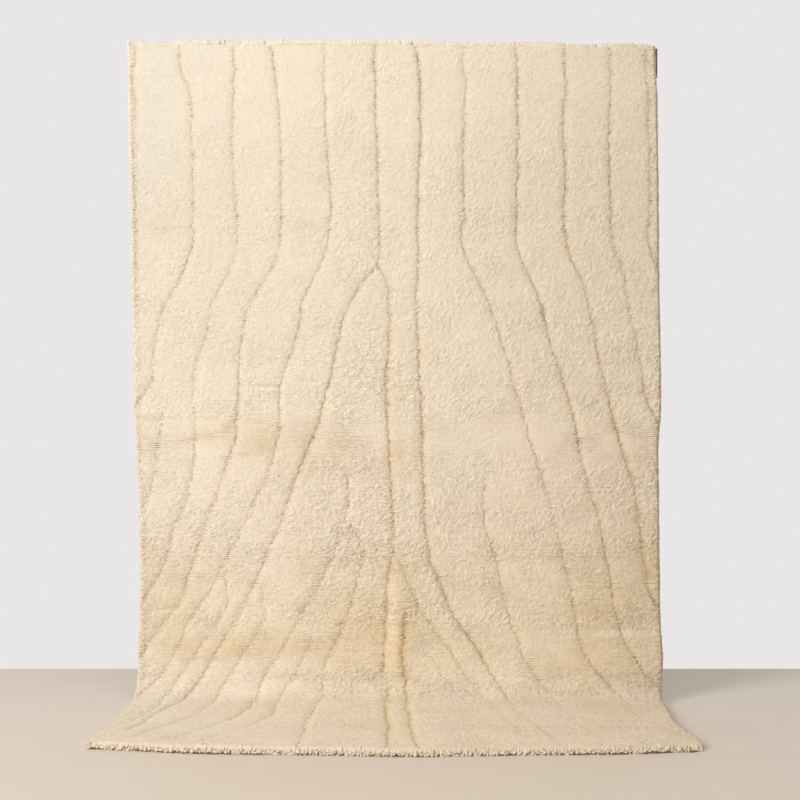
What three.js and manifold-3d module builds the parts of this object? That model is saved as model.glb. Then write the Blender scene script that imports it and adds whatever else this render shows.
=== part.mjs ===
// A thick-piled wool rug hung over a plain wooden rail, its lower end sweeping forward onto the floor.
// Millimetres, +Z up, pile towards -Y. The origin is the middle of the rail's back face.
import * as THREE from "three";
import Module from "manifold-3d";

// The rail: a plain board with eased edges.
const RAIL_LENGTH = 2000;
const RAIL_HEIGHT = 110;
const RAIL_DEPTH = 34;
const RAIL_EASE = 3;
const RAIL_TOP_ABOVE_FLOOR = 2476;
const RAIL_TOP = RAIL_HEIGHT / 2;
const FLOOR = RAIL_TOP - RAIL_TOP_ABOVE_FLOOR;

// The rug: a flat-woven band at the top, then knotted pile on the same ground weave.
const BAND_THICK = 5;
const PILE_THICK = 24;
const RIM_THICK = 16;
const RIM_WIDTH = 15;
const LUMPS = { height: 1.2, columnTurn: 2.4, rowTurn: 1.7 };
const TOUCH_GAP = 0.3;
const EDGE_CLEARANCE = 2;
const BAND_BACK_INSET = 4;
const BAND_END = 46;
const PILE_START = 58;

// The way the cloth runs: over the rail, down, round onto the floor and forward along it.
const FOLD_RADIUS = RAIL_EASE + EDGE_CLEARANCE;
const FLOOR_RADIUS = 110;
const LAP = RAIL_DEPTH - RAIL_EASE - BAND_BACK_INSET;
const FOLD_LENGTH = (Math.PI / 2) * FOLD_RADIUS;
const HANG_START = LAP + FOLD_LENGTH;
const HANG_Y = -(RAIL_DEPTH + EDGE_CLEARANCE);
const FOLD_TOP = RAIL_TOP - RAIL_EASE;
const BEND_START = HANG_START + FOLD_TOP - FLOOR - FLOOR_RADIUS;
const BEND_END = BEND_START + (Math.PI / 2) * FLOOR_RADIUS;
const FRONT_MIDDLE = 3200;
const FRONT_BOW = 72;
const FRONT_WOBBLE = { height: 5, turns: 9, start: 1 };

// The side edges: how far they lie from the rail's middle at a distance down the cloth.
const SIDE_EDGES = [
  { down: 0, left: -1006, right: 994 },
  { down: 770, left: -991, right: 1001 },
  { down: 1380, left: -980, right: 1009 },
  { down: 1570, left: -973, right: 998 },
  { down: 1750, left: -961, right: 1001 },
  { down: 2130, left: -957, right: 1005 },
  { down: 2360, left: -965, right: 1016 },
  { down: 2570, left: -972, right: 1000 },
  { down: 2880, left: -972, right: 986 },
  { down: 3130, left: -988, right: 1010 },
];

// How high the fold stands off the rail's top along the rail, and where down the cloth that lift fades out.
const LIFT_FADE_FROM = 70;
const LIFT_FADE_TO = 320;
const TOP_LIFTS = [
  { x: -1006, lift: 13 },
  { x: -950, lift: 13 },
  { x: -930, lift: 6 },
  { x: -840, lift: 6 },
  { x: -810, lift: 13 },
  { x: -560, lift: 12 },
  { x: 60, lift: 13 },
  { x: 110, lift: 7 },
  { x: 640, lift: 6 },
  { x: 750, lift: 2 },
  { x: 810, lift: 5 },
  { x: 920, lift: 4 },
  { x: 994, lift: 0 },
];

// The hanging cloth's ripples: half their height, and how far apart their crests lie across and down.
const RIPPLES = [
  { height: 3, across: 1320, along: 4020 },
  { height: 2, across: 600, along: -2070 },
];
const SWELL_FREE_FROM = 150;
const SWELL_FULL_FROM = 520;
const SWELL_OFF_BEFORE_BEND = 60;

// Soft swells and troughs of the hanging cloth: middle, half-widths across and down, and height.
const SWELLS = [
  { name: "middle_ridge", x: 25, down: 2240, across: 48, along: 230, height: 13 },
  { name: "left_belly", x: -560, down: 1500, across: 330, along: 420, height: 7 },
  { name: "right_belly", x: 520, down: 1150, across: 300, along: 480, height: 8 },
  { name: "right_crease", x: 860, down: 2235, across: 190, along: 70, height: -6 },
  { name: "left_hollow", x: -830, down: 2080, across: 160, along: 260, height: -6 },
  { name: "upper_hollow", x: -120, down: 560, across: 260, along: 300, height: -5 },
];

// The carved lines, each a smooth run through its places: [x, distance down the cloth].
const CARVED_LINES = [
  { name: "left_rim", start: [-985, 50], knee: [-982, 500], end: [-972, 1000] },
  {
    name: "left_one",
    start: [-805, 50], knee: [-766, 260], shoulder: [-765, 800],
    waist: [-868, 1030], end: [-1010, 1400],
  },
  { name: "left_one_low", start: [-875, 1410], knee: [-893, 1560], end: [-1000, 1830] },
  {
    name: "left_two",
    start: [-605, 50], knee: [-602, 820], shoulder: [-715, 1110],
    waist: [-748, 1450], fall: [-830, 1850], end: [-1000, 2170],
  },
  {
    name: "left_three",
    start: [-462, 50], knee: [-440, 830], shoulder: [-560, 1130],
    waist: [-600, 1510], fall: [-745, 1940], end: [-1010, 2330],
  },
  {
    name: "left_four",
    start: [-265, 50], knee: [-255, 790], shoulder: [-370, 1130],
    waist: [-435, 1490], fall: [-635, 1975], end: [-1010, 2530],
  },
  {
    name: "left_four_low",
    start: [-640, 1990], knee: [-632, 2130], shoulder: [-770, 2360],
    waist: [-855, 2520], foot: [-880, 2750], end: [-930, 2900],
  },
  {
    name: "left_five",
    start: [-70, 50], knee: [-63, 845], shoulder: [-205, 1120], waist: [-268, 1440],
    fall: [-500, 2010], foot: [-765, 2490], end: [-900, 2970],
  },
  {
    name: "left_five_low",
    start: [-495, 2080], knee: [-488, 2180], shoulder: [-590, 2360],
    fall: [-660, 2500], foot: [-700, 2760], end: [-900, 3128],
  },
  {
    name: "spine_left",
    start: [-63, 850], knee: [-22, 950], shoulder: [-24, 1400],
    waist: [-2, 1930], fall: [-24, 2060], end: [-35, 2390],
  },
  {
    name: "left_six",
    start: [-170, 1660], knee: [-172, 1790], shoulder: [-275, 2045], waist: [-405, 2285],
    fall: [-500, 2450], foot: [-545, 2780], end: [-748, 3118],
  },
  {
    name: "left_seven",
    start: [-160, 1840], knee: [-120, 1930], shoulder: [-185, 2210], waist: [-262, 2370],
    fall: [-270, 2520], foot: [-285, 2870], end: [-298, 3220],
  },
  {
    name: "left_seven_low",
    start: [-308, 2280], knee: [-375, 2405], shoulder: [-425, 2520],
    foot: [-435, 2790], end: [-650, 3160],
  },
  { name: "spine_foot", start: [-25, 2470], knee: [-28, 2640], end: [-10, 3220] },
  {
    name: "spine_split",
    start: [45, 2170], knee: [30, 2330], shoulder: [50, 2500],
    waist: [52, 2750], end: [80, 3220],
  },
  {
    name: "spine_right",
    start: [92, 50], knee: [100, 240], shoulder: [90, 900], waist: [112, 1600],
    fall: [125, 1920], foot: [420, 2500], end: [555, 3220],
  },
  {
    name: "right_one",
    start: [342, 1670], knee: [345, 1830], shoulder: [400, 2080], waist: [480, 2310],
    fall: [595, 2520], foot: [630, 2850], end: [690, 3040],
  },
  {
    name: "right_two",
    start: [270, 50], knee: [260, 800], shoulder: [400, 1130], waist: [470, 1400],
    fall: [645, 1990], foot: [810, 2450], end: [975, 3080],
  },
  {
    name: "right_three",
    start: [468, 50], knee: [465, 800], shoulder: [575, 1100], waist: [665, 1440],
    fall: [782, 1870], foot: [875, 2285], end: [1040, 2560],
  },
  {
    name: "right_four",
    start: [650, 50], knee: [660, 800], shoulder: [755, 1150],
    waist: [860, 1580], fall: [930, 1880], end: [1035, 2190],
  },
  {
    name: "right_five",
    start: [815, 50], knee: [835, 800], shoulder: [890, 1050],
    waist: [940, 1290], end: [1035, 1490],
  },
  { name: "right_rim", start: [950, 50], knee: [965, 400], shoulder: [967, 800], end: [1030, 890] },
  {
    name: "middle_low",
    start: [20, 1970], knee: [75, 2100], shoulder: [170, 2255],
    waist: [330, 2520], foot: [395, 2840], end: [430, 3070],
  },
  {
    name: "middle_faint",
    start: [105, 2285], knee: [185, 2420],
    shoulder: [265, 2570], end: [365, 3010],
  },
];
const LINE_PLACES = ["start", "knee", "shoulder", "waist", "fall", "foot", "end"];
const GROOVE_WIDTH = 15;
const GROOVE_FLOOR = 14;
const GROOVE_CUT_TOP = 31;
const GROOVE_STEP = 120;
const GROOVE_BEND_STEP = 30;
const GROOVE_RUNS_OUT_INSIDE = { side: 960, top: 80, front: 3150 };
const RUN_OUT_HALF_WIDTH = 2;
const JOG = { step: 7, length: 250, sharpness: 3 };
const DRIFT = { step: 5, length: 530, phase: 1.7 };
const LINE_PHASE = 2.399;

// The fringe of cut tufts along the front edge, rooted in the edge's last cord.
const STRIP_DEEP = 5;
const STRIP_HIGH = 15;
const STRIP_SLOPE = 3;
const STRIP_INSET = 3;
const LOCK_PITCH = 11;
const LOCK_ROOT = { back: 2, high: 10, halfWide: 3.8, halfHigh: 3.4 };
const LOCK_KNEE = { ahead: 13, halfWide: 4, halfHigh: 3.2 };
const LOCK_TIP = { ahead: 26, halfWide: 2.4, halfHigh: 1.8 };
const LOCK_REACH = { spread: 5, turn: 2.1 };
const LOCK_LEANS = [
  { lean: 2.2, turn: 0.83 },
  { lean: 1, turn: 0.31 },
];

// The tacks along the fold's front corner.
const TACK_PLACES = [-650, -577, -482, 30, 73, 650, 770, 918];
const TACK_RADIUS = 4;
const TACK_HEIGHT = 1.8;
const TACK_GAP = 0.6;
const TACK_SIDES = 10;

const woodFinish = new THREE.MeshStandardMaterial({ color: 0x7a5236, roughness: 0.62, metalness: 0 });
const woolFinish = new THREE.MeshStandardMaterial({ color: 0xe4d3b1, roughness: 0.97, metalness: 0 });
const fringeFinish = new THREE.MeshStandardMaterial({ color: 0xeadcbd, roughness: 0.97, metalness: 0 });
const tackFinish = new THREE.MeshStandardMaterial({ color: 0x3a302b, roughness: 0.45, metalness: 0.8 });

const wasm = await Module();
wasm.setup();

const FULL_TURN = 2 * Math.PI;

// A smooth step from 0 to 1 between two values.
function ease(low, high, value) {
  return THREE.MathUtils.smoothstep(value, low, high);
}

// A table's column at a key, run smoothly between its rows.
function fromTable(rows, key, column, at) {
  const last = rows.length - 1;
  if (at <= rows[0][key]) {
    return rows[0][column];
  }
  if (at >= rows[last][key]) {
    return rows[last][column];
  }
  const next = rows.findIndex((row) => row[key] > at);
  const share = ease(rows[next - 1][key], rows[next][key], at);
  return THREE.MathUtils.lerp(rows[next - 1][column], rows[next][column], share);
}

// The ground weave's back at a distance down the cloth: its place in side view and its outward direction.
function groundAt(down) {
  if (down < LAP) {
    const share = down / LAP;
    const rise = THREE.MathUtils.lerp(TOUCH_GAP, EDGE_CLEARANCE, share);
    return { y: -BAND_BACK_INSET - down, z: RAIL_TOP + rise, ny: 0, nz: 1 };
  }
  if (down < HANG_START) {
    const turn = (down - LAP) / FOLD_RADIUS;
    const ny = -Math.sin(turn);
    const nz = Math.cos(turn);
    return { y: HANG_Y + FOLD_RADIUS * (1 + ny), z: FOLD_TOP + FOLD_RADIUS * nz, ny, nz };
  }
  if (down < BEND_START) {
    return { y: HANG_Y, z: FOLD_TOP - (down - HANG_START), ny: -1, nz: 0 };
  }
  if (down < BEND_END) {
    const turn = (down - BEND_START) / FLOOR_RADIUS;
    const ny = -Math.cos(turn);
    const nz = Math.sin(turn);
    return { y: HANG_Y - FLOOR_RADIUS * (1 + ny), z: FLOOR + FLOOR_RADIUS * (1 - nz), ny, nz };
  }
  return { y: HANG_Y - FLOOR_RADIUS - (down - BEND_END), z: FLOOR, ny: 0, nz: 1 };
}

// How far the hanging cloth swells towards the room; nothing at the rail and on the floor.
function swellAt(x, down) {
  const hanging = 1 - ease(BEND_START - SWELL_OFF_BEFORE_BEND, BEND_END, down);
  const free = ease(SWELL_FREE_FROM, SWELL_FULL_FROM, down) * hanging;
  const ripples = RIPPLES.map(({ height, across, along }) => {
    return height * (1 + Math.sin(FULL_TURN * (x / across + down / along)));
  });
  const swells = SWELLS.map((swell) => {
    const across = (x - swell.x) / swell.across;
    const along = (down - swell.down) / swell.along;
    return swell.height * Math.exp(-(across * across) - along * along);
  });
  return free * [...ripples, ...swells].reduce((sum, height) => sum + height, 0);
}

// A point of the cloth: height is measured out from the back of the ground weave.
function clothPoint(x, down, height) {
  const ground = groundAt(down);
  const out = height + swellAt(x, down);
  const fold = ease(0, LAP, down) * (1 - ease(LIFT_FADE_FROM, LIFT_FADE_TO, down));
  const lift = fold * fromTable(TOP_LIFTS, "x", "lift", x);
  return new THREE.Vector3(x, ground.y + ground.ny * out, ground.z + ground.nz * out + lift);
}

// The cloth's length at a share across it: bowed forward in the middle and a little uneven.
function lengthAt(across) {
  const wobble = FRONT_WOBBLE.height * Math.sin(FRONT_WOBBLE.turns * across + FRONT_WOBBLE.start);
  return FRONT_MIDDLE - FRONT_BOW * across * across + wobble;
}

function sideAt(across, down) {
  const left = fromTable(SIDE_EDGES, "down", "left", down);
  const right = fromTable(SIDE_EDGES, "down", "right", down);
  return THREE.MathUtils.lerp(left, right, (across + 1) / 2);
}

// The cloth's thickness: the thin band, then the pile, drawn down at the rims.
function thicknessAt(atRim, down, fromFront) {
  const pile = atRim || fromFront < RIM_WIDTH / 2 ? RIM_THICK : PILE_THICK;
  return THREE.MathUtils.lerp(BAND_THICK, pile, ease(BAND_END, PILE_START, down));
}

// The pile's small unevenness from one grid point to the next.
function lumpAt(column, row) {
  return LUMPS.height * Math.sin(column * LUMPS.columnTurn + row * LUMPS.rowTurn);
}

// Turns a list of points and triangles into a solid body.
function solidFrom(points, triangles) {
  const vertProperties = new Float32Array(points.flatMap((point) => [point.x, point.y, point.z]));
  const triVerts = new Uint32Array(triangles.flat());
  return new wasm.Manifold(new wasm.Mesh({ numProp: 3, vertProperties, triVerts }));
}

// Joins rings of points, each with the same count, into one closed body with flat ends.
function loft(rings) {
  const count = rings[0].length;
  const triangles = [];
  for (let r = 0; r < rings.length - 1; r++) {
    for (let k = 0; k < count; k++) {
      const a = r * count + k;
      const b = r * count + ((k + 1) % count);
      triangles.push([a, b, b + count], [a, b + count, a + count]);
    }
  }
  const end = (rings.length - 1) * count;
  for (let k = 1; k < count - 1; k++) {
    triangles.push([0, k + 1, k], [end, end + k, end + k + 1]);
  }
  const body = solidFrom(rings.flat(), triangles);
  return body.volume() > 0 ? body : solidFrom(rings.flat(), triangles.map(([a, b, c]) => [a, c, b]));
}

function meshFrom(body, name, material) {
  const { vertProperties, triVerts } = body.getMesh();
  const geometry = new THREE.BufferGeometry();
  geometry.setAttribute("position", new THREE.BufferAttribute(vertProperties, 3));
  geometry.setIndex(new THREE.BufferAttribute(triVerts, 1));
  geometry.computeVertexNormals();
  const mesh = new THREE.Mesh(geometry, material);
  mesh.name = name;
  return mesh;
}

// The shares across the cloth where its columns of points stand, closer over the middle ridge.
function columnShares() {
  const rim = 1 - RIM_WIDTH / 1000;
  const inner = [0.94, 0.82, 0.68, 0.52, 0.36, 0.2];
  const middle = [-0.09, -0.03, 0.03, 0.09];
  return [-1, -rim, ...inner.map((share) => -share), ...middle, ...inner.toReversed(), rim, 1];
}

// The distances down the cloth of its rows above the floor, then shares of what lies on the floor.
function rowPlaces() {
  const fold = [0, LAP, LAP + FOLD_LENGTH / 2, HANG_START, BAND_END, PILE_START];
  const hanging = evenly(PILE_START, BEND_START, 14);
  const bend = evenly(BEND_START, BEND_END, 6);
  const floor = [0.17, 0.34, 0.51, 0.68, 0.85];
  return { above: [...fold, ...hanging, ...bend], floor };
}

// Evenly spaced values after the low end, up to and with the high end.
function evenly(low, high, count) {
  return Array.from({ length: count }, (_, k) => low + ((high - low) * (k + 1)) / count);
}

// The cloth's distance down at every row of one column.
function downsAt(across) {
  const { above, floor } = rowPlaces();
  const length = lengthAt(across);
  const laid = floor.map((share) => THREE.MathUtils.lerp(BEND_END, length, share));
  return [...above, ...laid, length - RIM_WIDTH, length];
}

// The whole cloth before it is carved: a grid of points on its pile side and one on its back.
function uncarvedRug() {
  const shares = columnShares();
  const front = [];
  const back = [];
  shares.forEach((across, column) => {
    const atRim = Math.abs(across) === 1;
    const length = lengthAt(across);
    downsAt(across).forEach((down, row) => {
      const x = sideAt(across, down);
      const lump = down > PILE_START ? lumpAt(column, row) : 0;
      front.push(clothPoint(x, down, thicknessAt(atRim, down, length - down) + lump));
      back.push(clothPoint(x, down, 0));
    });
  });
  return solidFrom([...front, ...back], gridShell(shares.length, front.length / shares.length));
}

// The triangles of a closed shell between two grids of points, the front grid first.
function gridShell(columns, rows) {
  const size = columns * rows;
  const triangles = [];
  for (let c = 0; c < columns - 1; c++) {
    for (let r = 0; r < rows - 1; r++) {
      const a = c * rows + r;
      const b = a + rows;
      triangles.push([a, a + 1, b + 1], [a, b + 1, b]);
      triangles.push([size + a, size + b + 1, size + a + 1], [size + a, size + b, size + b + 1]);
    }
  }
  for (const [a, b] of rimEdges(columns, rows)) {
    triangles.push([a, b, size + b], [a, size + b, size + a]);
  }
  return triangles;
}

// The edges round the grid's rim, in the order that faces their walls outwards.
function rimEdges(columns, rows) {
  const corner = (columns - 1) * rows;
  const edges = [];
  for (let c = 0; c < columns - 1; c++) {
    edges.push([c * rows, (c + 1) * rows]);
    edges.push([(c + 2) * rows - 1, (c + 1) * rows - 1]);
  }
  for (let r = 0; r < rows - 1; r++) {
    edges.push([r + 1, r]);
    edges.push([corner + r, corner + r + 1]);
  }
  return edges;
}

// A carved line's sidestep: jogs from knot row to knot row on a slow drift.
function sidestep(line, along) {
  const phase = line * LINE_PHASE;
  const jog = Math.tanh(JOG.sharpness * Math.sin((FULL_TURN * along) / JOG.length + phase));
  const drift = Math.sin((FULL_TURN * along) / DRIFT.length + phase * DRIFT.phase);
  return JOG.step * jog + DRIFT.step * drift;
}

// Places along a carved line, with its sideways direction at each.
function lineStations(row, line) {
  const named = LINE_PLACES.filter((place) => row[place]);
  const places = named.map((place) => new THREE.Vector3(...row[place], 0));
  const curve = new THREE.CatmullRomCurve3(places, false, "centripetal");
  const length = curve.getLength();
  const stations = [];
  for (let along = 0; along < length; ) {
    const share = along / length;
    const place = curve.getPointAt(share);
    const tangent = curve.getTangentAt(share);
    const side = new THREE.Vector2(tangent.y, -tangent.x);
    const step = sidestep(line, along);
    stations.push({ x: place.x + side.x * step, down: place.y + side.y * step, side });
    const bending = place.y > BEND_START - GROOVE_STEP && place.y < BEND_END;
    along += bending ? GROOVE_BEND_STEP : GROOVE_STEP;
  }
  const end = curve.getPointAt(1);
  stations.push({ x: end.x, down: end.y, side: stations[stations.length - 1].side });
  return stations;
}

// The wedge that carves one line out of the pile; it runs out to nothing where the line ends in the field.
function grooveCutter(row, line) {
  const stations = lineStations(row, line);
  const wedgeHalf = (GROOVE_WIDTH / 2) * ((GROOVE_CUT_TOP - GROOVE_FLOOR) / (PILE_THICK - GROOVE_FLOOR));
  const field = GROOVE_RUNS_OUT_INSIDE;
  const rings = stations.map(({ x, down, side }, k) => {
    const inField = Math.abs(x) < field.side && down > field.top && down < field.front;
    const runsOut = inField && (k === 0 || k === stations.length - 1);
    const bottom = runsOut ? PILE_THICK + 2 * LUMPS.height : GROOVE_FLOOR;
    const half = runsOut ? RUN_OUT_HALF_WIDTH : wedgeHalf;
    return [
      clothPoint(x, down, bottom),
      clothPoint(x + side.x * half, down + side.y * half, GROOVE_CUT_TOP),
      clothPoint(x - side.x * half, down - side.y * half, GROOVE_CUT_TOP),
    ];
  });
  return loft(rings);
}

function makeRug() {
  const grooves = wasm.Manifold.union(CARVED_LINES.map(grooveCutter));
  return meshFrom(uncarvedRug().subtract(grooves), "rug", woolFinish);
}

// The front edge in plan view, from left to right.
function frontEdge() {
  return columnShares().map((across) => {
    const down = lengthAt(across);
    return new THREE.Vector2(sideAt(across, down), groundAt(down).y);
  });
}

// The front edge's y at a place along it.
function frontEdgeY(edge, x) {
  const next = Math.max(1, edge.findIndex((point) => point.x > x));
  const share = (x - edge[next - 1].x) / (edge[next].x - edge[next - 1].x);
  return THREE.MathUtils.lerp(edge[next - 1].y, edge[next].y, share);
}

// The narrow strip just ahead of the front edge that the tufts grow from.
function edgeStrip(edge) {
  const inner = edge.slice(1, -1);
  const ends = [edge[0].x + STRIP_INSET, edge[edge.length - 1].x - STRIP_INSET];
  const line = [
    new THREE.Vector2(ends[0], frontEdgeY(edge, ends[0])),
    ...inner,
    new THREE.Vector2(ends[1], frontEdgeY(edge, ends[1])),
  ];
  const rings = line.map(({ x, y }) => {
    const near = y - TOUCH_GAP;
    const far = near - STRIP_DEEP;
    return [
      new THREE.Vector3(x, near, FLOOR),
      new THREE.Vector3(x, far, FLOOR),
      new THREE.Vector3(x, far, FLOOR + STRIP_HIGH - STRIP_SLOPE),
      new THREE.Vector3(x, near, FLOOR + STRIP_HIGH),
    ];
  });
  return loft(rings);
}

// A three-sided section of a lock, flat below and upright across it.
function lockRing(x, y, z, { halfWide, halfHigh }) {
  return [
    new THREE.Vector3(x - halfWide, y, z - halfHigh),
    new THREE.Vector3(x + halfWide, y, z - halfHigh),
    new THREE.Vector3(x, y, z + halfHigh),
  ];
}

// One tuft: out of the strip, down over it, then level along the floor.
function lock(x, faceY, number) {
  const lean = LOCK_LEANS.reduce((sum, part) => sum + part.lean * Math.sin(number * part.turn), 0);
  const reach = LOCK_REACH.spread * Math.sin(number * LOCK_REACH.turn);
  return loft([
    lockRing(x, faceY + LOCK_ROOT.back, FLOOR + LOCK_ROOT.high, LOCK_ROOT),
    lockRing(x + lean / 2, faceY - LOCK_KNEE.ahead, FLOOR + LOCK_KNEE.halfHigh, LOCK_KNEE),
    lockRing(x + lean, faceY - LOCK_TIP.ahead - reach, FLOOR + LOCK_TIP.halfHigh, LOCK_TIP),
  ]);
}

function makeFringe() {
  const edge = frontEdge();
  const first = edge[0].x + STRIP_INSET + LOCK_PITCH / 2;
  const span = edge[edge.length - 1].x - STRIP_INSET - LOCK_PITCH / 2 - first;
  const count = Math.floor(span / LOCK_PITCH);
  const locks = Array.from({ length: count + 1 }, (_, number) => {
    const x = first + (span * number) / count;
    return lock(x, frontEdgeY(edge, x) - TOUCH_GAP - STRIP_DEEP, number);
  });
  return meshFrom(wasm.Manifold.union([edgeStrip(edge), ...locks]), "front_fringe", fringeFinish);
}

// The board's section stands upright across the rail, and its length runs along X.
function makeRail() {
  const alongX = new THREE.Vector3(1, 0, 0);
  const alongY = new THREE.Vector3(0, 1, 0);
  const alongZ = new THREE.Vector3(0, 0, 1);
  const alongRail = new THREE.Matrix4().makeBasis(alongY, alongZ, alongX);
  const half = { deep: RAIL_DEPTH / 2 - RAIL_EASE, high: RAIL_HEIGHT / 2 - RAIL_EASE };
  const section = new THREE.Shape();
  section.absarc(half.deep, half.high, RAIL_EASE, 0, Math.PI / 2);
  section.absarc(-half.deep, half.high, RAIL_EASE, Math.PI / 2, Math.PI);
  section.absarc(-half.deep, -half.high, RAIL_EASE, Math.PI, Math.PI * 1.5);
  section.absarc(half.deep, -half.high, RAIL_EASE, Math.PI * 1.5, Math.PI * 2);
  const along = { depth: RAIL_LENGTH, bevelEnabled: false, curveSegments: 3 };
  const geometry = new THREE.ExtrudeGeometry(section, along);
  geometry.translate(0, 0, -RAIL_LENGTH / 2);
  const rail = new THREE.Mesh(geometry, woodFinish);
  rail.name = "rail";
  rail.rotation.setFromRotationMatrix(alongRail);
  rail.position.set(0, -RAIL_DEPTH / 2, 0);
  return rail;
}

// The place on the fold's front corner at x, on the straight run between the cloth's columns of points.
function foldCornerAt(x, height) {
  const corner = LAP + FOLD_LENGTH / 2;
  const columns = columnShares().map((across) => clothPoint(sideAt(across, corner), corner, height));
  const next = columns.findIndex((point) => point.x > x);
  const share = (x - columns[next - 1].x) / (columns[next].x - columns[next - 1].x);
  return new THREE.Vector3().lerpVectors(columns[next - 1], columns[next], share);
}

// A tack's domed head on the fold's front corner, facing forward and up.
function makeTack(x, number) {
  const profile = [
    new THREE.Vector2(0, 0),
    new THREE.Vector2(TACK_RADIUS, 0),
    new THREE.Vector2(TACK_RADIUS * 0.93, TACK_HEIGHT * 0.4),
    new THREE.Vector2(TACK_RADIUS * 0.6, TACK_HEIGHT * 0.85),
    new THREE.Vector2(0, TACK_HEIGHT),
  ];
  const tack = new THREE.Mesh(new THREE.LatheGeometry(profile, TACK_SIDES), tackFinish);
  tack.name = `tack_${number + 1}`;
  tack.rotation.x = (3 * Math.PI) / 4;
  tack.position.copy(foldCornerAt(x, BAND_THICK + TACK_GAP));
  return tack;
}

const rugOnRail = new THREE.Group();
rugOnRail.add(makeRail(), makeRug(), makeFringe(), ...TACK_PLACES.map(makeTack));

export default rugOnRail;
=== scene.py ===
"""A thick-piled wool rug hung over a wooden rail, its lower end sweeping forward onto the floor.

The tables are in millimetres, x to the right along the rail and down along the cloth from its top end.
The meshes are in metres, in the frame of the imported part.
"""

import logging
import math
from collections.abc import Sequence
from dataclasses import dataclass
from enum import Enum
from operator import mul

import bpy
import numpy as np
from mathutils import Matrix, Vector
from mathutils.geometry import delaunay_2d_cdt


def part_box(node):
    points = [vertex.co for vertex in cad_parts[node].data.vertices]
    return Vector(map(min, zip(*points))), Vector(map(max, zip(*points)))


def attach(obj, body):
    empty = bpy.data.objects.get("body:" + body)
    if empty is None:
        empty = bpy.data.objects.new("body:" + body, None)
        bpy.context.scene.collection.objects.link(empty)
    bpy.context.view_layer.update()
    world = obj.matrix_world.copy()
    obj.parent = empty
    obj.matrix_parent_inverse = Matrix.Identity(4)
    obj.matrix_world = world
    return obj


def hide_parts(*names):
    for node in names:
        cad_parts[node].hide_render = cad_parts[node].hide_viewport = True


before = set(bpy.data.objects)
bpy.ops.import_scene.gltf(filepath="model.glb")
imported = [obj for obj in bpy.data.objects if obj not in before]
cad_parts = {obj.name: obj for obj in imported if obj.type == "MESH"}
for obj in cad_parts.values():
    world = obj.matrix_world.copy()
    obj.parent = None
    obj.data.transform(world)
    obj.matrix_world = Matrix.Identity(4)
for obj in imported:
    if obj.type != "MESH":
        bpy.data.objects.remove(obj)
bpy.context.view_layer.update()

Array = np.ndarray
Pair = tuple[float, float]
Colour = tuple[float, float, float]
Rng = np.random.Generator
Socket = bpy.types.NodeSocket
Tree = bpy.types.NodeTree
Material = bpy.types.Material
Piece = bpy.types.Object

MM = 0.001
FULL_TURN = 2 * math.pi
# Half the width of the flat rectangle that the cloth is laid out in.
HALF_WIDTH = 1000.0
BODY = "root"

log = logging.getLogger("rug")


def eased(low: float, high: float, value: Array) -> Array:
    """A smooth step from 0 to 1 between two values.

    Args:
        low: where the step starts.
        high: where it ends.
        value: the places to read it at.

    Returns:
        The step at each place.
    """
    share = np.clip((value - low) / (high - low), 0, 1)
    return share * share * (3 - 2 * share)


def blended(first: Array, second: Array, share: Array) -> Array:
    """The value at a share of the way from the first to the second."""
    return first + (second - first) * share


@dataclass(frozen=True)
class Table:
    """Values by a key, run smoothly from row to row."""

    rows: tuple[Pair, ...]

    def at(self, where: Array) -> Array:
        """The table's value at each key.

        Args:
            where: the keys to read it at.

        Returns:
            The value at each key, held at the first and last rows beyond them.
        """
        keys = np.array([key for key, _ in self.rows])
        values = np.array([value for _, value in self.rows])
        held = np.clip(where, keys[0], keys[-1])
        after = np.clip(np.searchsorted(keys, held, side="right"), 1, len(keys) - 1)
        share = eased(0, 1, (held - keys[after - 1]) / (keys[after] - keys[after - 1]))
        return blended(values[after - 1], values[after], share)


@dataclass(frozen=True)
class Drift:
    """A soft random field over the cloth, between -1 and 1."""

    seed: int
    across: float
    along: float
    slant: float = 0.0
    lattice: int = 257

    def at(self, x: Array, down: Array) -> Array:
        """The field at places of the cloth.

        Args:
            x: how far across.
            down: how far down.

        Returns:
            The field's value at each place.
        """
        values = np.random.default_rng(self.seed).uniform(-1, 1, (self.lattice, self.lattice))
        cos, sin = math.cos(self.slant), math.sin(self.slant)
        u = (x * cos - down * sin) / self.across
        v = (x * sin + down * cos) / self.along
        column, row = np.floor(u).astype(int), np.floor(v).astype(int)
        right, low = eased(0, 1, u - column), eased(0, 1, v - row)
        corner = [
            [values[(row + j) % self.lattice, (column + i) % self.lattice] for i in (0, 1)] for j in (0, 1)
        ]
        upper = blended(corner[0][0], corner[0][1], right)
        lower = blended(corner[1][0], corner[1][1], right)
        return blended(upper, lower, low)


@dataclass(frozen=True)
class Mound:
    """A soft swell of the cloth, or a trough where its height is below nothing."""

    name: str
    x: float
    down: float
    across: float
    along: float
    height: float
    slant: float = 0.0

    def at(self, x: Array, down: Array) -> Array:
        """How far the mound lifts the cloth at each place.

        Args:
            x: how far across.
            down: how far down.

        Returns:
            The lift at each place.
        """
        cos, sin = math.cos(self.slant), math.sin(self.slant)
        beside, below = x - self.x, down - self.down
        across = (beside * cos + below * sin) / self.across
        along = (below * cos - beside * sin) / self.along
        return self.height * np.exp(-(across**2) - along**2)


@dataclass(frozen=True)
class Ripple:
    """A long wave of the cloth, with its length across and along."""

    height: float
    across: float
    along: float

    def at(self, x: Array, down: Array) -> Array:
        """How far the wave lifts the cloth at each place."""
        return self.height * (1 + np.sin(FULL_TURN * (x / self.across + down / self.along)))


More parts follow.
